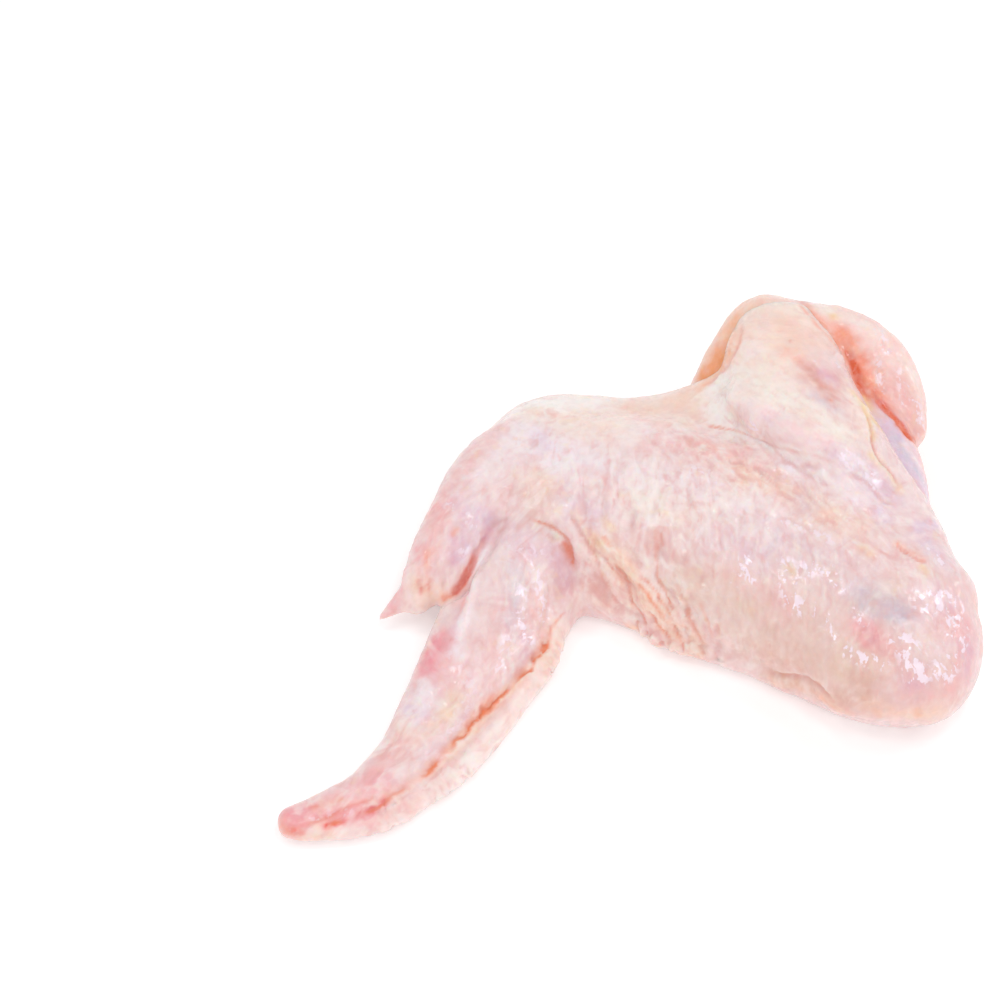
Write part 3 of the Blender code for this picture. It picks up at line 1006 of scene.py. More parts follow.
# The folds of the skin, from the thumb to the shoulder.
SKIN_FOLDS = strokes(Fold, """
    # Thumb crease with its deep red middle, and the lilac line above it.
    444,598 452,594 461,584 469,570 476,556 483,546 490,531; 0.9 1 -0.4 redness=0.2
    462,583 469,570 476,557; 0.9 0.4 redness=0.15
    490,528 497,524 503,522 510,517; 0.7 0.4
    # The skin of the wrist, its corner and the pocket under it.
    526,517 537,521 552,527 564,536 570,547 573,562 574,574; 0.6 0.35 0.2 redness=0.6
    563,540 568,550 572,561; 1.5 0.4 redness=0.5
    545,535 555,541 563,538; 0.8 0.3 -0.4
    # Wrist folds and strands that fan out over the rear of the forearm.
    594,550 606,566 616,582 626,600 634,616; 2.2 -1.1 ragged=0
    655,556 662,580 672,606; 1.8 -0.7 ragged=0
    584,580 600,596 618,610; 3 -1 ragged=0
    606,556 618,574 626,592; 0.6 0.22 redness=0.28
    640,574 652,588 664,604 674,622; 0.6 0.33 redness=0.49
    648,608 660,626 672,642; 0.6 0.33 redness=0.49
    672,622 680,638 684,650; 0.6 0.28 redness=0.42
    630,596 640,612 648,628; 0.6 0.33 redness=0.49
    676,582 684,600 690,616; 0.7 0.22 redness=0.21
    700,600 708,622 714,642; 0.8 0.22 redness=0.21
    567,511 576,524 583,535 590,547 598,560 604,573; 0.8 0.39 redness=0.17
    576,510 583,528 593,545 598,555; 1 -0.6
    597,540 607,547 618,558 628,568 637,580 641,590 647,600; 1.4 -0.35
    623,565 637,570 647,579 652,590 657,602; 0.8 -0.3
    606,560 620,580 632,600; 2.6 -0.9 ragged=0
    603,535 607,542 612,548; 0.7 0.28 redness=0.42
    612,560 622,571 631,587 633,603 637,613; 0.6 0.25 redness=0.4
    633,581 643,588 653,603 662,615 667,625; 0.7 0.28 redness=0.56
    600,572 612,590 620,606; 0.8 0.28 redness=0.17
    585,575 600,592 610,610; 1 0.22 redness=0.11
    660,531 663,547; 0.6 0.3 redness=0.25
    655,542 656,555 658,570 660,580 667,593 673,610; 0.7 0.3 redness=0.35
    668,595 673,610; 0.6 0.28 redness=0.6
    688,603 689,618 698,633 704,647; 0.8 0.39 redness=0.35
    680,590 684,612 694,640; 1.2 -0.4
    636,620 641,634; 0.7 0.8 redness=0.25
    641,622 645,637; 1.2 -1.2
    646,630 650,645; 0.7 0.8 redness=0.3
    652,634 657,649; 1.2 -1.2
    661,640 666,653; 0.7 0.8 redness=0.3
    670,642 675,654; 1.2 -1.2
    680,642 684,653; 0.7 0.8 redness=0.25
    690,642 694,654; 1.2 -1.2
    700,644 703,656; 0.7 0.7 redness=0.2
    714,650 717,661; 0.6 0.4 redness=0.1
    716,620 719,652; 1.2 0.6 redness=0.12
    741,634 745,668; 1.4 0.5 redness=0.06
    769,640 775,680; 1.6 0.5 redness=0.06
    580,478 584,496 583,520; 1.5 0.5 ragged=0.8
    597,474 602,498 603,526; 1.4 0.45 ragged=0.8
    624,482 629,506 629,532; 1.5 0.45 ragged=0.8
    640,462 644,480 642,500; 1.3 0.4 ragged=0.8
    656,468 658,492 656,516; 1.5 0.5 ragged=0.8
    686,476 689,500 686,520; 1.4 0.4 ragged=0.8
    768,673 780,674 802,677 815,682 825,692 835,703; 0.8 0.9 0.5 redness=0.3
    # The hand's bony front ridge and its long wrinkles.
    486,551 475,582 466,613 457,641; 1.8 -0.8
    483,562 469,590 456,625; 0.8 0.4 redness=0.15
    531,560 530,590 524,622 514,650; 0.9 0.4 redness=0.05
    547,566 549,592 545,622 535,645; 0.9 0.4 redness=0.05
    497,640 484,680 464,715 442,742; 0.9 0.35 redness=0.05
    420,700 398,735 370,764; 0.9 0.3 redness=0.1
    380,795 352,806 316,822 296,826; 0.8 0.5 redness=0.35
    366,800 335,806 300,818; 1.2 -0.4
    # The slit between the hand and its rear flap, in broken stretches.
    552,622 549,640 536,661 520,679 500,698 482,716 459,744 430,770 398,795 \
        360,816; 1.2 -0.5 0.4 ragged=0
    566,626 556,660 530,696 508,722 478,756 446,780 412,802 366,824; 3 -0.9 ragged=0.2
    566,611 556,621 551,629 549,640; 0.5 0.5 redness=0.4
    550,630 549,640 543,651 536,661 528,672 519,677 513,686; 0.6 0.9 0.3 1.1 0.25 0.9
    546,643 541,654; 0.9 0.7 redness=0.9
    514,685 507,693 497,702 482,714 474,724 467,735 456,742 448,752; 0.6 1 0.3 1.1 0.15 0.9
    497,702 486,711 476,722; 1.1 0.7 redness=0.8
    442,758 430,770 419,780; 0.6 0.7 0.3 0.8 0.3 0.9
    413,786 400,792 385,802 372,810 358,817; 0.6 0.5 0.4 0.6 0.2 0.7
    346,821 335,823 324,826; 0.7 0.5 0.3 0.4 0.3 0.7
    # The long crease between the forearm and the upper arm, and the soft band above it.
    706,428 736,434 757,439 783,449 813,458 840,470 866,486; 2.2 -0.9 ragged=0
    705,426 715,428 736,433 757,439; 0.6 0.35 0.2 redness=0.6
    757,438 783,447 813,455 828,460 842,468; 0.7 0.3 0.2 redness=0.12
    734,392 752,406 772,420 798,436 828,446; 4.5 -2
    722,390 738,402 752,414 770,428; 6 -2.2 ragged=0
    726,398 735,411 744,424; 4.5 -1.5 0 0 0.3 0
    842,470 866,482 884,500 900,502; 0.7 0.4 0.3 redness=0.1
    # Skin at the shoulder: hollows under it and the strands along its cut edge.
    792,356 806,364 820,378 832,398 846,412; 2.2 0.8 redness=0.05
    834,352 846,362 853,374; 1.6 -0.6
    745,352 766,358 790,372 806,384; 1.8 0.4 redness=0.03
    700,386 712,382 719,375 726,369 732,358 738,347 742,332 741,316 748,301; 0.8 0.2 -0.25 redness=0.2
    853,397 865,408 878,418 887,428 893,436; 1 -0.6
    862,408 870,423 873,441 876,454 884,464 893,475 900,488; 0.6 0.8 redness=0.25
    868,436 872,452 882,470 895,488; 0.8 -0.5
    # The small red crease at the elbow.
    895,543 906,552 918,560 928,562; 0.5 0.6 0.3 redness=0.35
    905,544 914,551 921,555; 0.6 -0.3
    # Scallops of the flap's outer edge.
    535,690 546,698; 1.8 0.6 ragged=0
    516,712 527,722; 1.8 0.6 ragged=0
    488,742 499,752; 2 0.6 ragged=0
    460,766 469,778; 1.8 0.6 ragged=0
    428,788 435,801; 2 0.6 ragged=0
    392,808 397,821; 1.8 0.6 ragged=0
""")

# The skin's patches of fine wrinkles.
SKIN_CREPING = strokes(Creping, """
    600,420; 16 10 2.6 0.3
    700,400; 14 20 2.4 0.3
    540,440; 18 60 3 0.4
    600,480; 18 80 3.2 0.5
    660,500; 18 92 3 0.65
    720,530; 18 95 3 0.65
    780,560; 16 95 3 0.6
    690,445; 14 -30 2.4 0.85
    750,470; 16 -35 2.4 1
    820,500; 16 -38 2.6 0.9
    860,550; 16 -55 2.8 0.5
    800,600; 16 85 3 0.5
    860,640; 14 60 3 0.45
    930,620; 16 -70 3 0.6
    900,690; 16 80 4.5 0.4
    600,550; 11 -55 2 0.7
    640,595; 13 -60 2.2 1
    690,620; 12 -65 2.6 0.9
    760,640; 16 -78 3.6 0.6
    820,670; 14 -80 4.4 0.35
    560,590; 10 78 2.4 0.35
    520,590; 12 80 2.4 0.35
    500,660; 12 72 2.4 0.4
    460,700; 12 60 2.4 0.4
    420,740; 12 48 2.4 0.4
    350,800; 14 25 2.2 0.25
    545,680; 8 -35 2.6 1.4
    508,735; 8 -40 2.6 1.4
    455,784; 8 -45 2.6 1.4
    395,822; 8 -50 2.6 1.3
    558,650; 7 -35 2.4 1.1
    455,520; 14 62 2.4 0.5
    420,575; 10 70 2 0.45
    775,335; 12 -15 2.8 0.45
    790,400; 14 -38 2.4 0.5
    740,380; 12 -35 2.2 0.45
    850,450; 8 -45 2.2 0.4
""")

# The colours painted on the skin, from the web to the shoulder and then the hand: its own marks, and
# some painted light, shade and highlights.
# Fine differences of tone along the wing, with some painted shade and painted light among them.
# Painted highlight: the big pale glint on the band above the crease.
# Painted highlights: two small pale glints on the hand.
# Painted light in the shaded hollow before the shoulder.
# Painted light in the shaded valley below the crease band.
# Painted light in the shaded valley of the long crease.
# Painted light on the band above the long crease, where its slope is in shade.
# Painted light on the steep slope at the top of the shoulder.
# Painted light on the steep wall before the shoulder, which faces away from the light.
# Painted light: a pale wash where the steep wall before the shoulder is in shade.
# Painted shade along the lower rear edge.
# Painted shade under the fold along the lower edge.
# Painted shade, in the shaded tan of the skin.
# Painted shadow under the overhanging fold at the rear edge.
# Painted shadow under the overhanging fold, darker pink and apricot.
# The pale ridge over the bone: partly its own colour, partly a painted highlight along it.
# The slit and the flap behind it. The orange and red in the slit is partly its own flesh and partly
# painted shade.
SKIN_STAINS_AND_PAINTED_LIGHT = strokes(Wash, """
    # Web and forearm.
    530,412 580,406 640,406 690,400; 9 CREAM 0.8
    520,410 560,405 600,405; 6.5 GLOW 1.1
    620,406 655,408 690,400; 4.5 PEACH 0.5
    580,432 630,428 680,422; 7 CREAM 0.8
    536,414 572,420; 4 CREAM 0.6
    520,430 480,470; 5 PEARL 0.6
    500,430 462,470 438,510; 4 BLUSH 0.6
    530,436 545,452 562,460; 7 PEARL 1.1
    540,435 546,448; 3 LILAC 0.4
    640,432 670,436; 5 PEARL 0.7
    540,480 545,505; 5 BUTTER 0.3
    575,455 640,475 700,490 760,505; 6 PEARL 0.55
    640,500 700,520; 6 FAT 0.7
    560,500 600,520; 5 LILAC 0.4
    690,410 740,425; 5 PEACH 0.4
    722,388 722,410 728,436; 5 GLOW 1
    742,432 772,454 805,460; 3.2 GLOW 0.7
    650,440 690,446 745,460 790,475; 4.5 BLUSH 0.5
    690,440 720,455; 3 SALMON 0.35
    728,462 745,474; 2.5 SALMON 0.6
    745,480 800,500 850,525; 6 PEACH 0.6
    755,500 775,510; 3 PEARL 0.6
    700,540 760,560; 7 LILAC 0.35
    690,580 750,605 800,630; 10 SAND 0.7
    720,570 770,590; 4 BLUSH 0.3
    780,595 790,610; 3 ROSE 0.3
    # Folds behind the wrist and along the rear edge.
    590,545 600,560 606,575; 2 MAUVE 0.35
    594,540 612,552 628,572 642,600; 2.6 PEACH 0.7
    596,542 614,554 630,574 642,598; 1.8 BUTTER 0.7
    576,512 588,535 598,555; 1.4 PEACH 0.5
    605,520 612,530; 1.5 BUTTER 0.45
    656,532 657,548; 0.8 SALMON 0.5
    612,562 640,592 665,620 690,640; 5 PEACH 0.9
    606,566 622,584 634,600; 2.6 CREAM 0.5
    578,582 600,590 612,602; 6 DUSK 0.45
    580,590 604,604 630,616; 2.6 CREAM 0.6
    630,626 640,630 655,645 680,655 700,655; 1.6 PEACH 0.9
    631,628; 1 RUST 0.5
    670,649 672,650; 0.7 QUILL 0.8
    718,660 722,661; 0.6 QUILL 0.75
    773,684; 0.5 QUILL 0.5
    700,620 760,650 800,665; 5 SAND 0.35
    712,632 716,650; 2 MAUVE 0.35
    790,640 810,645; 3 FAT 0.35
    775,682 800,686 822,698 845,712; 2.4 PEACH 0.9
    790,625 798,660 804,680; 8 DUSK 0.3
    812,692 832,702 850,706; 4 DUSK 0.45
    815,694 832,705; 2 APRICOT 0.4
    # Upper arm and elbow.
    725,388 765,408 800,428 825,438; 5 GLOW 1.1
    735,400 765,416 800,434 830,444; 4 BLUSH 0.4
    735,400 765,416 800,434 830,444; 3 LILAC 0.3
    840,450 866,480 880,492; 4 LILAC 0.6
    846,458 860,468 873,480; 2 PEARL 0.9
    800,500 806,510; 3 SLATE 0.35
    785,466 825,480 860,502; 4 PEARL 0.7
    780,545 820,560 860,585; 7 LILAC 0.5
    880,512 884,518; 2.5 LILAC 0.9
    918,528 936,524; 2.2 LILAC 0.9
    925,540 945,560; 4 LILAC 0.5
    860,618 872,638 882,656; 5 DUSK 0.5
    864,626 873,640 883,656; 3.8 ROSE 1.3
    868,630 875,642 883,656; 1.8 PINK 1.2
    898,544 910,552 922,559; 1.3 SALMON 0.55
    870,601 886,607 900,611; 4.2 SLATE 1.3
    876,606 892,610; 3 SLATE 0.6
    875,603 886,609; 2 MAUVE 0.3
    935,596 950,610; 5 MAUVE 0.35
    788,566 794,573; 0.9 BUTTER 0.6
    862,548 870,554; 1.6 BUTTER 0.4
    922,567 928,574; 1.2 BUTTER 0.7
    915,590 945,610 950,640; 5 PEARL 0.4
    962,630 968,660 955,690 930,705; 6 BLUSH 1
    968,650 966,672; 3 MAUVE 0.5
    974,600 982,630 982,650; 2 SALMON 0.4
    840,665 880,680 930,696; 9 SAND 0.9
    866,668 890,680; 8 DUSK 0.4
    905,690 930,696 950,690; 5 BLUSH 0.7
    800,560 850,590 880,600; 9 SAND 0.4
    910,580 940,600; 8 DUSK 0.22
    870,704 900,713 940,714; 3 PEACH 0.8
    916,709 918,715; 1.2 APRICOT 0.4
    877,712 879,716; 1.2 APRICOT 0.4
    880,668 890,690; 3 FAT 0.4
    # Shoulder skin and its cut edge.
    757,306 785,310 815,335; 6 PEACH 0.75
    760,330 775,350 775,372; 8 CREAM 0.8
    785,322 788,345; 6 PEACH 0.6
    745,385 790,402 840,430; 4 CREAM 0.8
    795,322 805,332; 3 BLUSH 0.4
    788,352 800,360; 2.5 SALMON 0.3
    810,370 818,380 827,391; 3.6 DUSK 0.8
    838,402 850,414; 3.6 DUSK 0.35
    792,308 804,320; 4 CREAM 0.8
    838,376 844,388; 2.6 DUSK 0.7
    824,372 834,380; 2 MAUVE 0.7
    815,398 835,412; 2.6 SLATE 0.4
    831,399; 0.6 RUST 0.6
    790,341; 0.6 RUST 0.4
    747,320 744,340 738,360 728,378; 2.4 PEACH 0.7
    744,345 758,350; 2 PEARL 0.5
    735,372 775,392 810,410 850,440; 4 FAT 0.8
    840,345 852,360 858,378; 2 PEACH 0.6
    853,392 860,402 868,418 873,436; 1.4 BUTTER 0.9
    872,455 888,474 900,490; 1.5 BUTTER 0.7
    880,475 898,500; 4 LILAC 0.4
    698,396 715,398 740,408; 4 CREAM 0.8
    # Bare muscle that shows beside the edge of the skin, and the clear film along that edge.
    712,381 719,375 726,369 732,358 738,347 742,332 741,316 748,303; 8 PEACH 1.5 1
    706,384 718,374 726,362 731,350; 2 APRICOT 0.6
    730,345 735,328 738,316; 1.6 APRICOT 0.35
    722,377 729,368 734,355; 1 PEACH 0.9
    # Thumb.
    440,520 428,545; 5 BLUSH 0.7
    455,505 470,525; 5 LILAC 0.5
    453,538 453,560; 1.6 MAUVE 0.9
    462,530 466,556; 3 LILAC 0.7
    478,512 488,520; 3 LILAC 0.7
    413,551 424,566; 3 ROSE 0.55
    427,552 426,566; 0.9 SALMON 0.6
    405,570 400,592 392,606; 2.6 ROSE 0.6
    408,572 416,590 420,606; 4.5 SHELL 0.8
    418,586 430,597 442,594; 3 PEACH 0.9
    436,500 440,516; 4 BLUSH 0.7
    419,582 421,592; 0.8 BLOOD 0.6
    430,580 428,590; 0.8 RUST 0.4
    453,534 456,530; 0.9 SALMON 0.6
    444,598 452,595 461,585 470,570 478,554; 1.3 SALMON 1.2
    455,592 463,582 470,569 477,556; 0.8 GARNET 1.5
    478,552 484,542 490,530; 1.1 MAUVE 1
    # Hand.
    486,551 475,582 466,613 457,641; 1.8 PEARL 0.95
    470,590 460,612 452,636; 1.4 MAUVE 0.35
    510,535 545,548; 5 LILAC 0.4
    555,532 560,537; 1.4 FAT 0.9
    565,545 571,560; 1.6 BLOOD 0.55
    560,565 566,585; 3.4 MAUVE 0.55
    516,570 514,600 508,625; 3 SLATE 0.4
    520,635 528,655; 3.6 MAUVE 0.45
    500,610 490,650; 4 BLUSH 0.35
    490,660 470,684; 6 BLUSH 0.6
    526,552 540,556; 4 MAUVE 0.35
    536,600 544,640; 2.6 BLUSH 0.5
    438,640 430,656 424,672; 3.6 ROSE 1
    436,648 432,662; 2 ROSE 0.8
    445,645 436,685; 3.6 ROSE 0.45
    451,640; 0.6 BLOOD 0.6
    456,650 460,656; 1.8 PEARL 0.8
    424,684 418,700; 2.2 PEARL 0.7
    414,710 426,722; 3.2 LILAC 1
    400,722 412,734 440,720; 3 PEACH 0.6
    455,698 450,712; 3 BUTTER 0.4
    480,660 470,690; 4 PEARL 0.4
    470,715 452,742 430,760; 3 LILAC 0.45
    400,745 385,762 372,775; 3.6 BLUSH 0.8
    385,780 398,788; 2.4 MAUVE 0.5
    378,790 345,804 310,814 286,820; 4.6 ROSE 1
    355,812 325,820 292,824; 1.8 ROSE 0.9
    340,800 315,808; 1.4 SALMON 0.6
    286,831 300,834; 1.1 BLOOD 0.8
    333,834 337,832; 0.9 RUST 0.7
    280,826 296,836; 2 SALMON 0.5
    # The slit and the flap behind it.
    556,622 552,634; 1.2 PEACH 0.8
    548,634 544,648 534,661 526,672 509,690 493,702 468,728 446,753; 1.6 APRICOT 0.6
    494,701 480,713 470,726; 1.8 SALMON 0.8
    446,752 418,778 384,800 350,818 320,826; 1.6 SALMON 0.5
    564,632 548,670 522,706 494,742 462,774 430,795 400,815; 4.2 SHELL 1.4
    400,814 360,828 310,834; 2.8 SHELL 0.9
    560,640 546,668; 2.4 PEACH 0.5
    500,728 470,760 440,784; 2.6 GLOW 0.35
    549,640 536,661 520,679 500,698 482,716 459,744 430,770; 2.2 PEACH 0.8 1
    446,786 410,806 370,826; 2 BLUSH 0.6
    330,836 304,837; 1.6 PEACH 0.6
    543,646 538,656; 1.6 RUST 0.5
    527,668 518,678; 1.2 RUST 0.25
    494,702 484,712 474,722; 1.7 RUST 0.45
    434,766 424,776; 1.1 RUST 0.7
    386,801 372,810 358,816; 1.3 CHERRY 0.8
    343,821 334,824 326,826; 1.1 CHERRY 1
    292,829 302,832; 1.2 CHERRY 0.5
    # Fine differences of tone along the wing.
    774,674 800,680 824,694 848,700 872,690; 6 TAN 0.5
    722,382 727,392; 3 GLOW 0.9
    700,458 726,460; 4 SHELL 0.5
    628,550 678,536; 6 DUSK 0.2
    678,552; 4 DUSK 0.25
    942,602; 6 MAUVE 0.35
    462,530; 3 DUSK 0.3
    774,506; 4 BLUSH 0.35
    918,674; 5 MAUVE 0.4
    462,602; 3 BLUSH 0.5
    462,674; 5 BLUSH 0.4
    582,412; 4 PEACH 0.35
    534,506; 4 DUSK 0.25
    346,818 368,816; 2.6 ROSE 0.55
    345,795 366,792 390,788; 2.6 FAT 0.4
    414,600; 3 SHELL 0.6
    428,690 418,708 410,716; 3.6 PEARL 0.6
    # Warm rims where the skin ends over the muscle, and the yellow strand beside them.
    712,381 726,369 738,347 742,332 741,316 748,302 762,297 780,298 800,304; 0.9 DUSK 0.6
    800,305 818,326 832,342 844,358 852,374 858,388 866,400; 0.9 SALMON 0.6
    860,402 870,416 882,430 890,440; 1.8 BUTTER 0.8
    850,392 858,412 866,436; 2.4 CREAM 0.6
    # Paler and darker stretches.
    722,384 727,400 722,412; 5 GLOW 0.8
    744,318 756,308 775,304; 4 CREAM 0.7
    752,345 768,372; 6 CREAM 0.4
    606,556 632,592; 5 CREAM 0.35
    470,772 450,790 428,802; 3.4 GLOW 0.5
    530,700 516,720; 3 GLOW 0.4
    900,690; 7 MAUVE 0.3
    700,600; 7 TAN 0.15
    800,430; 5 BLUSH 0.3
    445,550; 4 ROSE 0.15
    724,648 752,652 800,655; 6 TAN 0.3
    584,602 604,582; 5 DUSK 0.3
    967,640 967,672; 5 MAUVE 0.35
    438,506; 4 ROSE 0.3
    532,412; 4 PEACH 0.3
    510,554; 4 PEARL 0.4
""")

# The wet stretches of the skin, which get gloss and, where wettest, painted highlights.
SKIN_GLEAMS = strokes(Stretch, """
    845,456 860,468 874,482; 3.5 1
    760,424 766,430; 2.5 0.9
    738,580 746,560 752,578; 3.5 1
    785,565 792,600 808,610; 4.5 1
    806,570 822,566 840,585; 4.5 1
    780,522 800,526 830,540; 4 0.8
    826,618 836,638 852,655 883,664; 2.8 1.1
    855,611 864,624; 2.2 0.95
    900,640 912,655 918,676; 5.5 1.1
    925,600 950,605 958,635 945,670; 6 1.1
    928,545 942,562; 4 1
    640,470 700,500 760,520 830,535; 7 0.6
    690,470 720,480; 4 0.8
    513,545 540,552; 4 0.8
    536,565 545,616; 4 0.9
    522,590 520,620 530,640; 3.5 0.9
    505,640 500,672; 4 0.8
    452,655 470,690 452,730; 5 0.7
    424,690 410,715; 4 0.6
    486,551 475,582 466,613 457,641; 2 0.6
    450,505 476,528 463,551; 4 0.8
    350,812 300,822; 3 0.7
    595,520 620,540; 4 0.5
    832,360 845,372; 3 0.8
    738,380 752,395; 4 0.6
""")

# The stretches of skin without much of a pattern.
SKIN_CALM = strokes(Stretch, """
    765,315 785,345 770,375; 13 0.8
    760,400 800,425 850,455; 7 0.7
    800,350 830,390; 8 0.4
    475,515 440,545 412,590; 8 0.5
    486,551 466,613 440,680; 6 0.5
    560,640 508,722 446,780 366,824; 5 0.35
    700,460 750,500 700,530; 13 -0.3
    600,480 640,500; 10 -0.2
    970,600 968,660 930,700; 9 0.6
    620,410 690,405; 8 0.5
    740,600 820,640; 13 0.6
    840,660 900,700; 13 0.6
    658,537; 3.6 0.8
    725,532; 3 0.6
""")


@dataclass
class Wing:
    """The wing in its skin.

    Attributes:
        view: the camera whose pixels the folds and washes use.
        voxel: the grain of its mesh in millimetres.
        passes: how many times the CAD's facets are smoothed.
        skin: the colour that most of the skin has.
        lumps: the size of each layer's lumps and how high they stand, in millimetres.
        streak_strength: how much the colours of the fine wrinkles show.
        relief_rounds: how many rings of neighbours a vertex is measured against for relief.
        relief_depth: the depth in millimetres that shows fully.
        relief_strength: how much the colours of valleys and crests show, partly painted shade and light.
        dampness: how wet all of it is, from 0 to 1.
        folds: its folds.
        creping: its patches of fine wrinkles.
        stains_and_painted_light: the colours painted on it, its own marks and some painted light and
            shade.
        gleams: its wet stretches, with gloss and painted highlights.
        calm: the stretches without much of a pattern.
    """

    view: PhotoView
    voxel: float = 0.77
    passes: int = 16
    skin: str = "efd3d3"
    lumps: tuple[tuple[float, float], ...] = ((9.0, 0.3), (3.0, 0.12))
    streak_strength: float = 0.35
    relief_rounds: int = 6
    relief_depth: float = 0.25
    relief_strength: float = 0.35
    dampness: float = 0.4
    folds: tuple[Fold, ...] = SKIN_FOLDS
    creping: tuple[Creping, ...] = SKIN_CREPING
    stains_and_painted_light: tuple[Wash, ...] = SKIN_STAINS_AND_PAINTED_LIGHT
    gleams: tuple[Stretch, ...] = SKIN_GLEAMS
    calm: tuple[Stretch, ...] = SKIN_CALM

    def build(self) -> bpy.types.Object:
        """Makes the piece and its finish.

        Returns:
            The piece.
        """
        skin = Surface("wing", self.voxel, self.passes, self.skin, self.view)
        skin.fold(self.folds)
        skin.crepe(self.creping)
        skin.roughen(self.lumps)
        skin.calm(self.calm)
        skin.streak(Hue.BLUSH, Hue.FAT, self.streak_strength)
        skin.wash(self.stains_and_painted_light)
        # The hollows are painted a darker pink and the crests a paler one, partly painted shade and
        # light.
        relief = skin.hollows(self.relief_rounds) / self.relief_depth
        skin.shade_by_relief(relief, Hue.DUSK, Hue.FAT, self.relief_strength)
        skin.wet(self.dampness, self.gleams)
        piece = skin.write("wing_skin", MoistSkin().make())
        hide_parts("wing")
        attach(piece, "root")
        return piece


# The colours painted on the muscle: its own marks, and painted shade in its hollows.
# The hollow between it and the skin, deepest red in the middle: partly the muscle's own red, partly
# painted shade in the hollow.
MEAT_STAINS_AND_PAINTED_SHADE = strokes(Wash, """
    # The bulge in front.
    700,380 712,350 728,325 745,305; 9 PEACH 1.2
    704,386 712,376 722,360; 3 APRICOT 1
    724,352 733,338 739,320; 2 APRICOT 0.4
    696,380 702,360 708,344 716,328 726,316; 1.6 SHELL 0.7
    697,376 703,358 709,342; 1.6 DUSK 0.4
    745,298 765,296 790,302; 3 FAT 0.4
    # The lobe behind, pale along its top and back.
    800,305 840,316 876,342 900,362 915,380; 6 SHELL 0.8
    815,308 850,318 880,334; 2.6 FAT 0.5
    833,318; 1.6 BUTTER 0.7
    896,384 904,400 914,424; 6 DUSK 0.45
    905,360 918,392 922,420; 2.6 FAT 0.4
    # The hollow between it and the skin, deepest red in the middle.
    806,314 817,325 832,337 842,344; 2.6 SALMON 0.8
    838,338 850,352 858,366 862,382 872,396; 3.4 SALMON 1.6
    848,356 855,371 861,385 869,397; 1.6 EMBER 1.5
    884,404 899,420 914,440; 2.4 SALMON 1
    873,394 881,404 889,413 899,423 909,435 914,440; 1.1 EMBER 1.5
    862,402 872,414 884,424 893,436; 1.6 BUTTER 1.1
    874,414 886,424; 0.8 APRICOT 0.4
    868,392 874,398; 1.2 FAT 0.3
    876,402 892,420; 1.6 MAUVE 0.5
    # The lilac sheet over the muscle below the lobe.
    884,427 900,450 912,470 924,491; 6 LILAC 1
    893,437 905,455 920,480; 1.6 SLATE 0.7
    905,446 916,462; 1.6 PEARL 0.7
    # Warm shade in the bulge and at the seams.
    726,338 716,352; 4 APRICOT 0.25
    704,374 714,366 720,352; 1.8 APRICOT 0.6
    742,302 762,296 782,297 802,305; 1.2 DUSK 0.5
    897,390 914,418; 3.4 BLUSH 0.5
    883,406 892,416 902,427 912,439; 0.9 EMBER 1
    898,426 906,435 913,442; 1.1 EMBER 1.4
""")

# The folds of the muscle.
MEAT_FOLDS = strokes(Fold, """
    866,388 875,398 883,410 892,418 902,430 912,443; 0.8 0.7 0.3 redness=0.5
    878,356 877,372 881,386 888,393; 0.9 0.5 redness=0.12
    884,366 886,382; 1.4 -0.4
    882,343; 0.9 0.6 fade=0 redness=0.15
    898,363; 0.7 0.5 fade=0 redness=0.1
    890,352; 0.6 0.4 fade=0
    909,395; 0.8 0.4 fade=0
""")

# The muscle's patches of fine wrinkles.
MEAT_CREPING = strokes(Creping, """
    845,320; 9 -25 2.6 0.2
    890,360; 10 -55 2.8 0.35
    912,405; 9 -70 2.6 0.35
    905,460; 10 -60 2 0.35
    715,350; 10 60 2.6 0.25
""")

# The wet stretches of the muscle, which get gloss and, where wettest, painted highlights.
MEAT_GLEAMS = strokes(Stretch, """
    878,332 888,352; 3 1
    879,364 880,392; 2.6 0.95
    899,372 903,402; 2.4 0.9
    912,388 921,430; 3.4 1
    728,312 714,335; 3 0.85
    890,440 915,475; 5 0.7
""")


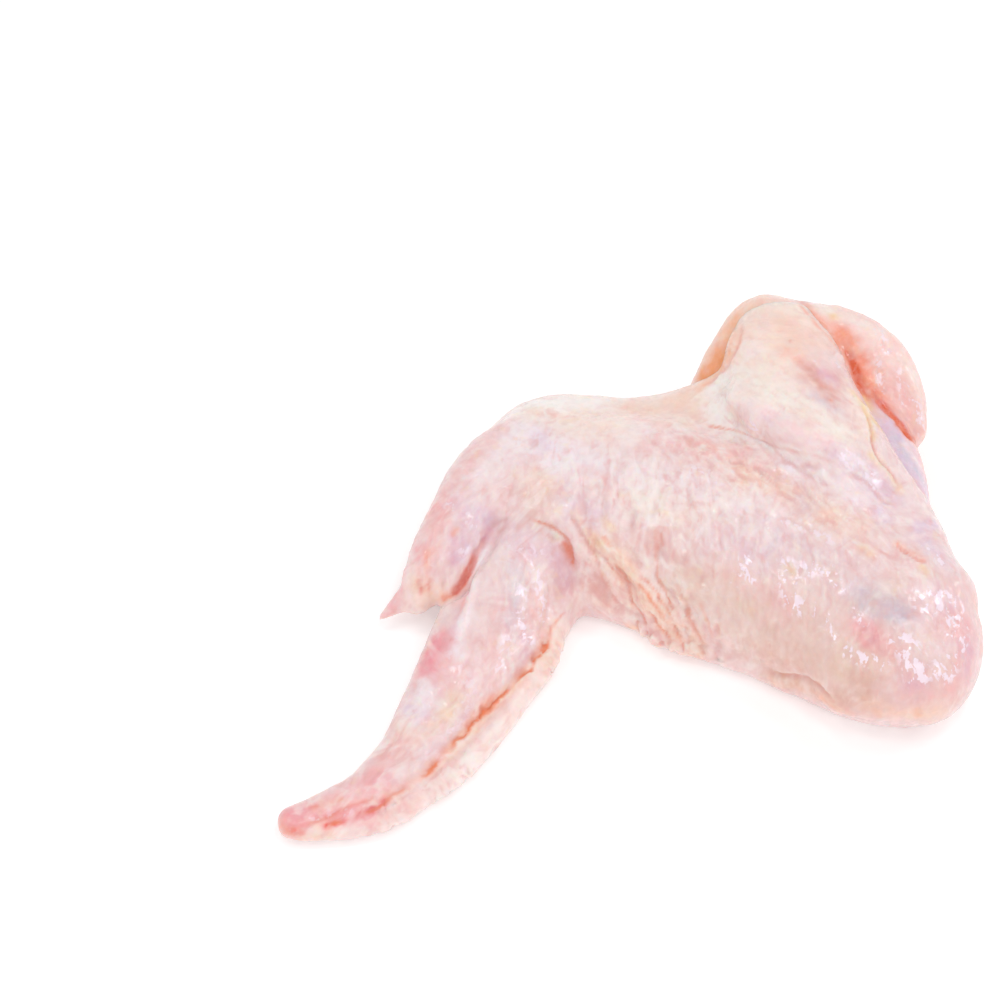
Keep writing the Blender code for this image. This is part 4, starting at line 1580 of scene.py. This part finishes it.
@dataclass
class ShoulderMeat:
    """The bare muscle at the cut shoulder.

    Attributes:
        view: the camera whose pixels the folds and washes use.
        voxel: the grain of its mesh in millimetres.
        passes: how many times the CAD's facets are smoothed.
        flesh: the colour that most of the muscle has.
        swell: how far it stands out, in millimetres.
        lip: how much farther it stands out beside the skin's edge, in millimetres.
        lip_width: how wide that stretch is, in millimetres.
        lumps: the size of each layer's lumps and how high they stand, in millimetres.
        streak_strength: how much the colours of the fine wrinkles show.
        dampness: how wet all of it is, from 0 to 1.
        folds: its folds.
        creping: its patches of fine wrinkles.
        stains_and_painted_light: the colours painted on it, its own marks and some painted shade.
        gleams: its wet stretches, with gloss and painted highlights.
    """

    view: PhotoView
    voxel: float = 0.6
    passes: int = 14
    flesh: str = "f8c9c3"
    swell: float = 0.3
    lip: float = 0.7
    lip_width: float = 2.5
    lumps: tuple[tuple[float, float], ...] = ((7.0, 0.3), (2.4, 0.12))
    streak_strength: float = 0.2
    dampness: float = 0.4
    folds: tuple[Fold, ...] = MEAT_FOLDS
    creping: tuple[Creping, ...] = MEAT_CREPING
    stains_and_painted_light: tuple[Wash, ...] = MEAT_STAINS_AND_PAINTED_SHADE
    gleams: tuple[Stretch, ...] = MEAT_GLEAMS

    def build(self) -> bpy.types.Object:
        """Makes the piece and its finish.

        Returns:
            The piece.
        """
        meat = Surface("shoulder_meat", self.voxel, self.passes, self.flesh, self.view)
        meat.fold(self.folds)
        meat.crepe(self.creping)
        meat.roughen(self.lumps)
        meat.move(np.full(len(meat.points), self.swell))
        meat.lean_on("wing", self.lip_width, self.lip)
        meat.streak(Hue.BLUSH, Hue.FAT, self.streak_strength)
        meat.wash(self.stains_and_painted_light)
        meat.wet(self.dampness, self.gleams)
        finish = MoistSkin(
            name="raw_turkey_muscle",
            cloudiness=0.15,
            roughness=0.34,
            strand_strength=0.3,
            film_width=1.3,
            film_depth=0.15,
            drop_size=2.0,
            painted_glint_strength=0.6,
        )
        piece = meat.write("shoulder_muscle", finish.make())
        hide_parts("shoulder_meat")
        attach(piece, "root")
        return piece


@dataclass
class Studio:
    """A pale floor under soft light from above.

    Attributes:
        floor_colour: the sRGB colour of the floor.
        floor_size: its side, in millimetres.
        floor_gap: how far it lies below the wing, so that the two don't mix, in millimetres.
        floor_roughness: matt, so that nothing mirrors in it.
        floor_glow: how much light the floor gives of itself, which keeps its far side pale.
        sky_strength: how bright the even light from above is.
        horizon_strength: how bright it is at the horizon.
        horizon_height: the sine of the angle above the horizon where that has faded.
        softboxes: each light's place and side in millimetres, and its power in watts.
    """

    floor_colour: str = "ffffff"
    floor_size: float = 6000.0
    floor_gap: float = 0.05
    floor_roughness: float = 0.9
    floor_glow: float = 0.15
    sky_strength: float = 0.62
    horizon_strength: float = 0.93
    horizon_height: float = 0.35
    softboxes: tuple[tuple[tuple[float, float, float], float, float], ...] = (
        ((-260.0, 230.0, 860.0), 150.0, 0.5),
        ((-560.0, 60.0, 760.0), 150.0, 0.5),
        ((260.0, 330.0, 840.0), 150.0, 0.5),
        ((170.0, -160.0, 880.0), 150.0, 0.45),
        ((520.0, 170.0, 780.0), 150.0, 0.5),
        ((780.0, 260.0, 430.0), 150.0, 0.5),
        ((290.0, -600.0, 690.0), 150.0, 0.3),
        ((-100.0, -750.0, 650.0), 600.0, 1.1),
    )

    def build(self) -> None:
        """Makes the floor, the lights and the background."""
        mesh = bmesh.new()
        bmesh.ops.create_grid(mesh, x_segments=1, y_segments=1, size=self.floor_size * MM / 2)
        data = bpy.data.meshes.new("floor")
        mesh.to_mesh(data)
        mesh.free()
        floor = bpy.data.objects.new("floor", data)
        floor.location.z = -self.floor_gap * MM
        bpy.context.scene.collection.objects.link(floor)
        material = bpy.data.materials.new("white_table")
        material.use_nodes = True
        shader = material.node_tree.nodes["Principled BSDF"]
        finish = {
            "Base Color": (*linear(self.floor_colour), 1.0),
            "Roughness": self.floor_roughness,
            "Emission Color": (1.0, 1.0, 1.0, 1.0),
            "Emission Strength": self.floor_glow,
        }
        for name, value in finish.items():
            shader.inputs[name].default_value = value
        data.materials.append(material)
        self._sky()
        for number, (place, size, power) in enumerate(self.softboxes):
            self._softbox(f"softbox_{number}", place, size, power)
        bpy.context.scene.view_settings.view_transform = "Standard"

    def _sky(self) -> None:
        """Adds the even light from above, which is a little brighter at the horizon."""
        world = bpy.data.worlds.new("studio")
        world.use_nodes = True
        tree = world.node_tree
        background = tree.nodes["Background"]
        background.inputs["Color"].default_value = (1.0, 1.0, 1.0, 1.0)
        towards = add_node(tree, "ShaderNodeTexCoord").outputs["Generated"]
        height = add_node(tree, "ShaderNodeSeparateXYZ", {}, {0: towards}).outputs["Z"]
        fall = {
            "Value": height,
            "From Min": 0.0,
            "From Max": self.horizon_height,
            "To Min": self.horizon_strength,
            "To Max": self.sky_strength,
        }
        strength = add_node(tree, "ShaderNodeMapRange", {"clamp": True}, fall).outputs["Result"]
        tree.links.new(strength, background.inputs["Strength"])
        bpy.context.scene.world = world

    def _softbox(self, name: str, place: tuple[float, float, float], size: float, power: float) -> None:
        """Adds a square light that faces the wing.

        Args:
            name: its name.
            place: its middle, in millimetres.
            size: its side, in millimetres.
            power: its power in watts.
        """
        data = bpy.data.lights.new(name, "AREA")
        data.size = size * MM
        data.energy = power
        light = bpy.data.objects.new(name, data)
        light.location = Vector(place) * MM
        light.rotation_mode = "QUATERNION"
        light.rotation_quaternion = (-light.location).to_track_quat("-Z", "Y")
        bpy.context.scene.collection.objects.link(light)


def main() -> None:
    """Builds the camera, the wing, its bare muscle and the studio."""
    logging.basicConfig(level=logging.INFO, format="%(message)s")
    view = PhotoView()
    view.make_camera()
    for maker in (Wing(view), ShoulderMeat(view)):
        piece = maker.build()
        LOG.info("%s: %d faces", piece.name, len(piece.data.polygons))
    Studio().build()


if __name__ == "__main__":
    main()
